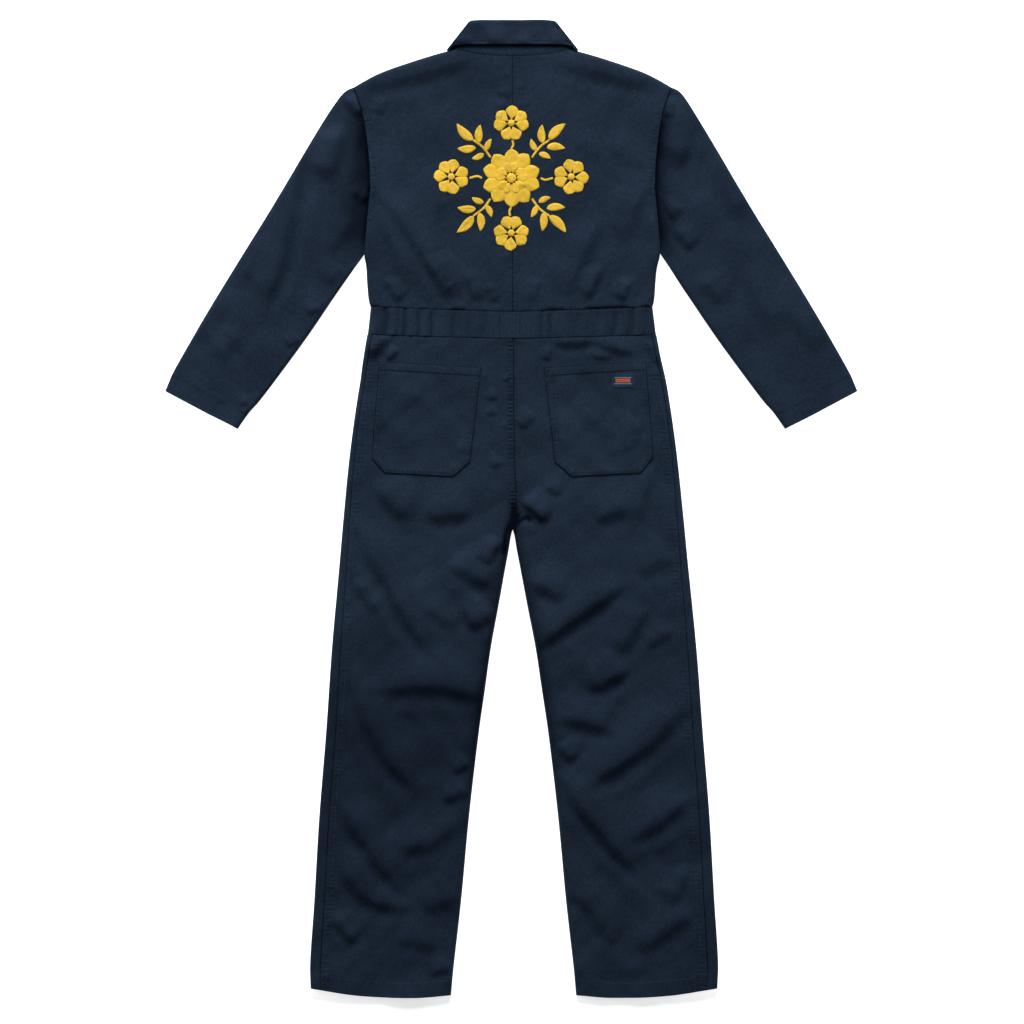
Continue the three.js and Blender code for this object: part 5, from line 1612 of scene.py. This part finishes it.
def bodyTopstitching():
    rows = []
    for side in (-1, 1):
        at = lambda x, y, side=side: backHeight(side, np.maximum(side * x, 0), y)
        arm = curve(bodyLines["armhole"])(np.linspace(0.01, 0.985, 90))
        for away in bodySettings["armholeSeam"]["rows"]:
            rows.append(stitchesAlong(mirrored(side, shifted(arm, -away)), at, stitchSettings))
        neck = curve(bodyLines["neckSeam"])(np.linspace(0.0, 0.97, 40))
        rows.append(stitchesAlong(mirrored(side, shifted(neck, -2.0)), at, stitchSettings))
    threadObject("bodyTopstitching", rows)


def sleeveTopstitching():
    rows = []
    for side in (-1, 1):
        at = lambda x, y, side=side: sleeveLevel(side, side * x, y)
        cuff = shifted(chainOf(curve(sleeveLines["cuff"])), -sleeveSettings["hem"])[3:-3]
        cuff[:, 0] += sleeveReach(side, cuff[:, 0], cuff[:, 1])
        rows.append(stitchesAlong(mirrored(side, cuff), at, stitchSettings))
    threadObject("cuffTopstitching", rows)


def bandTopstitching():
    x = np.linspace(-226, 226, 150)
    down, up = bandEdges(x, 0)
    inset = bandSettings["edge"]["rows"][0]
    lines = [np.stack([x, y], -1) for y in (down - inset, inset - up)]
    rows = [stitchesAlong(line, bandHeight, stitchSettings) for line in lines]
    for seam in bandSettings["centrePiece"]:
        line = np.stack([np.full(20, seam + (1.8 if seam < 0 else -1.8)), np.linspace(320, 281, 20)], -1)
        rows.append(stitchesAlong(line, bandHeight, stitchSettings))
    threadObject("waistbandTopstitching", rows)


def legTopstitching():
    rows = []
    for side in (-1, 1):
        at = lambda x, y, side=side: legHeight(side, np.abs(x), y)
        y = np.linspace(278, -768, 360)
        row = outseamX(y) - legSettings["outseam"]["rows"][0]
        row = row + widen(side, row, y, tableValue(legLines["outer"], y))
        rows.append(stitchesAlong(np.stack([side * row + hemLean(y), y], -1), at, stitchSettings))
        x = np.linspace(110, 322, 90)
        hem = tableValue(legLines["hem"], x) + legSettings["hem"] - 1
        rows.append(stitchesAlong(np.stack([side * x + 1.8, hem], -1), at, stitchSettings))
    y = np.linspace(276, 12, 110)
    for row in legSettings["seatBand"]["rows"]:
        line = np.stack([seatX(np.full(y.shape, -row), y), y], -1)
        rows.append(stitchesAlong(line, lambda x, y: legHeight(-1, np.full(x.shape, row), y), stitchSettings))
    threadObject("legTopstitching", rows)


def pocketTopstitching():
    s = pocketSettings
    rows = []
    top, low = s["top"], s["foot"]
    sewnLine = [top[0], *low, top[1]]
    for side in (-1, 1):
        at = lambda x, y, side=side: pocketHeight(side, side * x, y)
        for away in s["rows"]:
            line = insetLine(sewnLine, away)
            line[0, 1] -= 2.0
            line[-1, 1] -= 2.0
            rows.append(stitchesAlong(mirrored(side, line), at, stitchSettings))
        for down in openingRows(s):
            line = np.array(top, float) + [[2.5, -down], [-2.5, -down]]
            rows.append(stitchesAlong(mirrored(side, line), at, stitchSettings))
        for corner, towards in ((top[0], 1), (top[1], -1)):  # three-cornered tack at each end of the opening
            a = np.array(corner, float) + [towards * 2.4, -2.2]
            tack = [a, a + [towards * 12, -1.0], a + [towards * 0.6, -20], a]
            rows.append(stitchesAlong(mirrored(side, tack), at, stitchSettings, pitch=2.2))
    threadObject("pocketTopstitching", rows)


def collarTopstitching():
    s = collarSettings
    x = np.linspace(-98, 98, 60)
    line = np.stack([x, np.full(60, s["leafFoot"] + s["stitch"])], -1)
    level = s["leafHeight"] - s["stitchSink"]
    rows = [stitchesAlong(line, lambda x, y: np.full(x.shape, level), stitchSettings)]
    threadObject("collarTopstitching", rows)


# Embroidered flowers and leaves: satin-stitched shapes, each a low dome of laid thread

embroiderySettings = {
    "centre": (-2, 541), "rise": 1.15,
    # Flowers. Columns: x, y from the centre, reach of the petals, petals, petal width, first petal's angle
    "flowers": [(0, 0, 48, 10, 25, 90), (0, 90, 29, 7, 20, 90), (98, 2, 29, 7, 20, 0),
                (0, -90, 29, 7, 20, 270), (-98, 2, 29, 7, 20, 180)],
    # Each ring of the large flower. Columns: start and end of the petals, share of their width
    "rings": [(0.2, 1.0, 1.0), (0.16, 0.55, 0.62)], "large": 40,
    # Stems between the flowers, and one towards each corner. Points from the centre
    "stems": [[(0, 48), (3, 54), (2, 62)], [(48, 0), (56, -3), (68, 0)],
              [(0, -48), (-3, -54), (-2, -62)], [(-48, 0), (-56, 3), (-68, 0)]],
    "cornerStem": [(34, 34), (46, 50), (62, 62)], "stemWidth": 3.6,
    # Leaves of one corner. Columns: x, y of the base from the centre, angle, length, width
    "leaves": [(62, 62, 0.785, 38, 15), (52, 57, 1.62, 30, 13), (58, 50, -0.05, 30, 13),
               (41, 45, 2.0, 21, 10), (45, 40, -0.4, 21, 10)],
}


def satinShape(axis, halfWidth, slant, vein, rise):
    # A low dome along an axis line. Gives the grid and the run of the threads on it
    points = np.asarray(axis, float)
    run = runAlong(points)
    ahead = np.gradient(points, axis=0)
    ahead /= np.linalg.norm(ahead, axis=1)[:, None]
    across = np.stack([-ahead[:, 1], ahead[:, 0]], -1)
    t = np.array([-1, -0.94, -0.8, -0.55, -0.25, 0, 0.25, 0.55, 0.8, 0.94, 1])
    xy = points[:, None] + across[:, None] * (halfWidth[:, None] * t[None])[..., None]
    dome = np.sqrt(np.clip(1 - np.abs(t) ** 2.6, 0, 1))[None] * np.minimum(1, halfWidth / 2.2)[:, None] ** 0.5
    z = 0.2 + rise * dome - vein * bell(t, 0.12)[None] * np.minimum(1, halfWidth / 3)[:, None]
    threads = run[:, None] + slant * np.abs(t[None] * halfWidth[:, None])
    return xy, z, threads


def petalWidth(k, wide, blunt):
    return np.maximum(wide / 2 * np.sin(np.pi * k**blunt) ** 0.75, 0.12)


def bentAxis(base, angle, reach, bend):
    # A slightly bent line from its base: reach and bend are given for each of its points
    along = np.array([math.cos(angle), math.sin(angle)])
    return np.array(base) + along * reach[:, None] + np.array([-along[1], along[0]]) * bend[:, None]


def flowerShapes(s, x, y, reach, count, wide, start):
    large = reach > s["large"]
    shapes, k = [], np.linspace(0, 1, 17)
    for ring, (low, high, share) in enumerate(s["rings"] if large else s["rings"][:1]):
        for n in range(count):
            angle = math.radians(start + (n + 0.5 * ring) * 360 / count)
            bend = 1.2 * np.sin(k * 3.1) * (1 if n % 2 else -1)
            axis = bentAxis((x, y), angle, reach * (low + (high - low) * k), bend)
            petal = satinShape(axis, petalWidth(k, wide * share, 1.5), 0.45, 0.35, s["rise"] + 0.5 * ring)
            shapes.append((*petal, 0.3 * ring))
    k = np.linspace(0, 1, 13)
    ball = reach * (0.17 if large else 0.2)
    axis = np.array([x - ball, y]) + np.stack([2 * ball * k, 0 * k], -1)
    half = np.maximum(ball * np.sqrt(1 - (2 * k - 1) ** 2), 0.12)
    return shapes + [(*satinShape(axis, half, 0.0, 0, s["rise"] + 0.8), 0.5)]


def leafShapes(s):
    k = np.linspace(0, 1, 17)
    shapes = []
    for across, up in ((-1, -1), (-1, 1), (1, -1), (1, 1)):
        for x, y, lean, long, wide in s["leaves"]:
            angle = math.atan2(up * math.sin(lean), across * math.cos(lean))
            axis = bentAxis((across * x, up * y), angle, long * k, 0.07 * long * np.sin(math.pi * k))
            shapes.append((*satinShape(axis, petalWidth(k, wide, 0.8), 0.8, 0.45, s["rise"]), 0))
    return shapes


def stemShapes(s):
    corners = [np.array(s["cornerStem"]) * way for way in ((1, 1), (1, -1), (-1, 1), (-1, -1))]
    axes = [smoothPoints(points, 10) for points in (*s["stems"], *corners)]
    return [(*satinShape(axis, np.full(len(axis), s["stemWidth"] / 2), 0.8, 0, 0.8), 0) for axis in axes]


def backEmbroidery():
    s = embroiderySettings
    shapes = [shape for flower in s["flowers"] for shape in flowerShapes(s, *flower)]
    parts, threads = [], []
    for xy, z, laid, lift in shapes + stemShapes(s) + leafShapes(s):
        x, y = xy[..., 0] + s["centre"][0], xy[..., 1] + s["centre"][1]
        base = np.where(x < 0, backLevel(-1, np.abs(x), y), backLevel(1, np.abs(x), y))
        grid = np.stack([x, y, base + z + lift], -1)
        below = np.stack([x, y, base - 0.25 + 0 * z], -1)
        parts.append(closedShell(grid, below))
        threads.append(np.r_[laid.ravel(), laid.ravel()])
    points, quads = joinParts(parts)
    piece = meshObject("flowerEmbroidery", points, quads, goldThread)
    layThreads(piece.data, np.concatenate(threads))


def patchBands():
    # Plain bands woven into the small patch. Columns: name, material, left, right, top, foot
    table = [("orangeBand", orangeThread, 168.5, 192.5, 212.8, 206.4),
             ("paleBandUpper", paleThread, 166.5, 194.5, 215.4, 214.0),
             ("paleBandLower", paleThread, 166.5, 194.5, 205.2, 203.8)]
    for name, material, left, right, top, low in table:
        x, y = np.meshgrid(np.linspace(left, right, 30), np.linspace(top, low, 9))
        z = labelHeight(x, y) + 0.22 - 0.2 * np.exp(-fromEdges(x, y, left, right, top, low) / 0.25)
        grid, below = np.stack([x, y, z], -1), np.stack([x, y, labelHeight(x, y) - 0.2], -1)
        points, quads = closedShell(grid, below)
        piece = meshObject(name, points, quads, material)
        layThreads(piece.data, points[:, 0])


def patchStitching():
    s = labelSettings
    left, right = s["left"] + s["stitch"], s["right"] - s["stitch"]
    top, low = s["top"] - s["stitch"], s["foot"] + s["stitch"]
    ring = [(left, top), (right, top), (right, low), (left, low), (left, top)]
    rows = [stitchesAlong(ring, labelHeight, stitchSettings, pitch=2.4)]
    threadObject("patchStitching", rows)


floorSettings = {
    "half": 6.0, "below": 0.0004, "colour": (0.86, 0.87, 0.88), "grain": 0.985, "roughness": 0.9,
    # How much the floor glows, and how much it glows where the soft shade past the hems is left in
    "glow": 0.99, "shadowGlow": 0.58, "shadeStart": (-0.815, -0.775), "shadeEnd": (-0.85, -0.83),
}


def makeFloor(s):
    # A pale floor that stays even under the light
    h = s["half"]
    mesh = bpy.data.meshes.new("paleFloor")
    mesh.from_pydata([(-h, -h, 0), (h, -h, 0), (h, h, 0), (-h, h, 0)], [], [(0, 1, 2, 3)])
    floor = bpy.data.objects.new("paleFloor", mesh)
    floor.location.z = -s["below"]
    bpy.context.scene.collection.objects.link(floor)
    material, tree, shader = materialNodes("palePaint")
    place = addNode(tree, "ShaderNodeTexCoord")
    grain = addNode(tree, "ShaderNodeTexNoise", {"Scale": 30.0})
    tone = colourRamp(tree, [s["grain"] * c for c in s["colour"]], s["colour"])
    parts = addNode(tree, "ShaderNodeSeparateXYZ")
    (start, clear), (low, end) = s["shadeStart"], s["shadeEnd"]
    above = addNode(tree, "ShaderNodeMapRange", {"From Min": start, "From Max": clear})
    below = addNode(tree, "ShaderNodeMapRange", {"From Min": low, "From Max": end, "To Min": 1.0,
                                                 "To Max": 0.0})
    either = addNode(tree, "ShaderNodeMath", operation="MAXIMUM")
    glow = addNode(tree, "ShaderNodeMapRange", {"To Min": s["shadowGlow"], "To Max": s["glow"]})
    wire(tree, (place, "Object", grain, "Vector"), (grain, "Fac", tone, "Fac"),
         (tone, "Color", shader, "Base Color"), (place, "Object", parts, "Vector"),
         (parts, "Y", above, "Value"), (parts, "Y", below, "Value"),
         (above, "Result", either, 0), (below, "Result", either, 1), (either, "Value", glow, "Value"),
         (glow, "Result", shader, "Emission Strength"))
    setSurface(shader, glow=(1, 1, 1, 1), roughness=s["roughness"])
    mesh.materials.append(material)


makeFloor(floorSettings)
for side, word in ((-1, "Left"), (1, "Right")):
    makeUpperFront(side, word)
    makeUpperBack(side, word)
    makeSleeve(side, word)
    makeWaistbandFront(side, word)
    makeLegFront(side, word)
    makeLegBack(side, word)
    makePocket(side, word)
    print("cloth of the", word.lower(), "side made")
makeWaistbandBack()
makeLabel()
makeCollarStand()
makeCollarLeaf()
makeStrip("frontPlacket", "front_placket", closureSettings["placket"], twillBody, "twill", ["paleFloor"])
makeStrip("zipTape", "zip_tape", closureSettings["zip"], tapeMaterial(tapeSettings), "zip_tape",
          ["frontPlacket"])
print("waistband, collar and closure made")
bodyTopstitching()
sleeveTopstitching()
bandTopstitching()
legTopstitching()
pocketTopstitching()
collarTopstitching()
patchBands()
patchStitching()
print("topstitching and patch bands made")
backEmbroidery()
print("embroidery made")
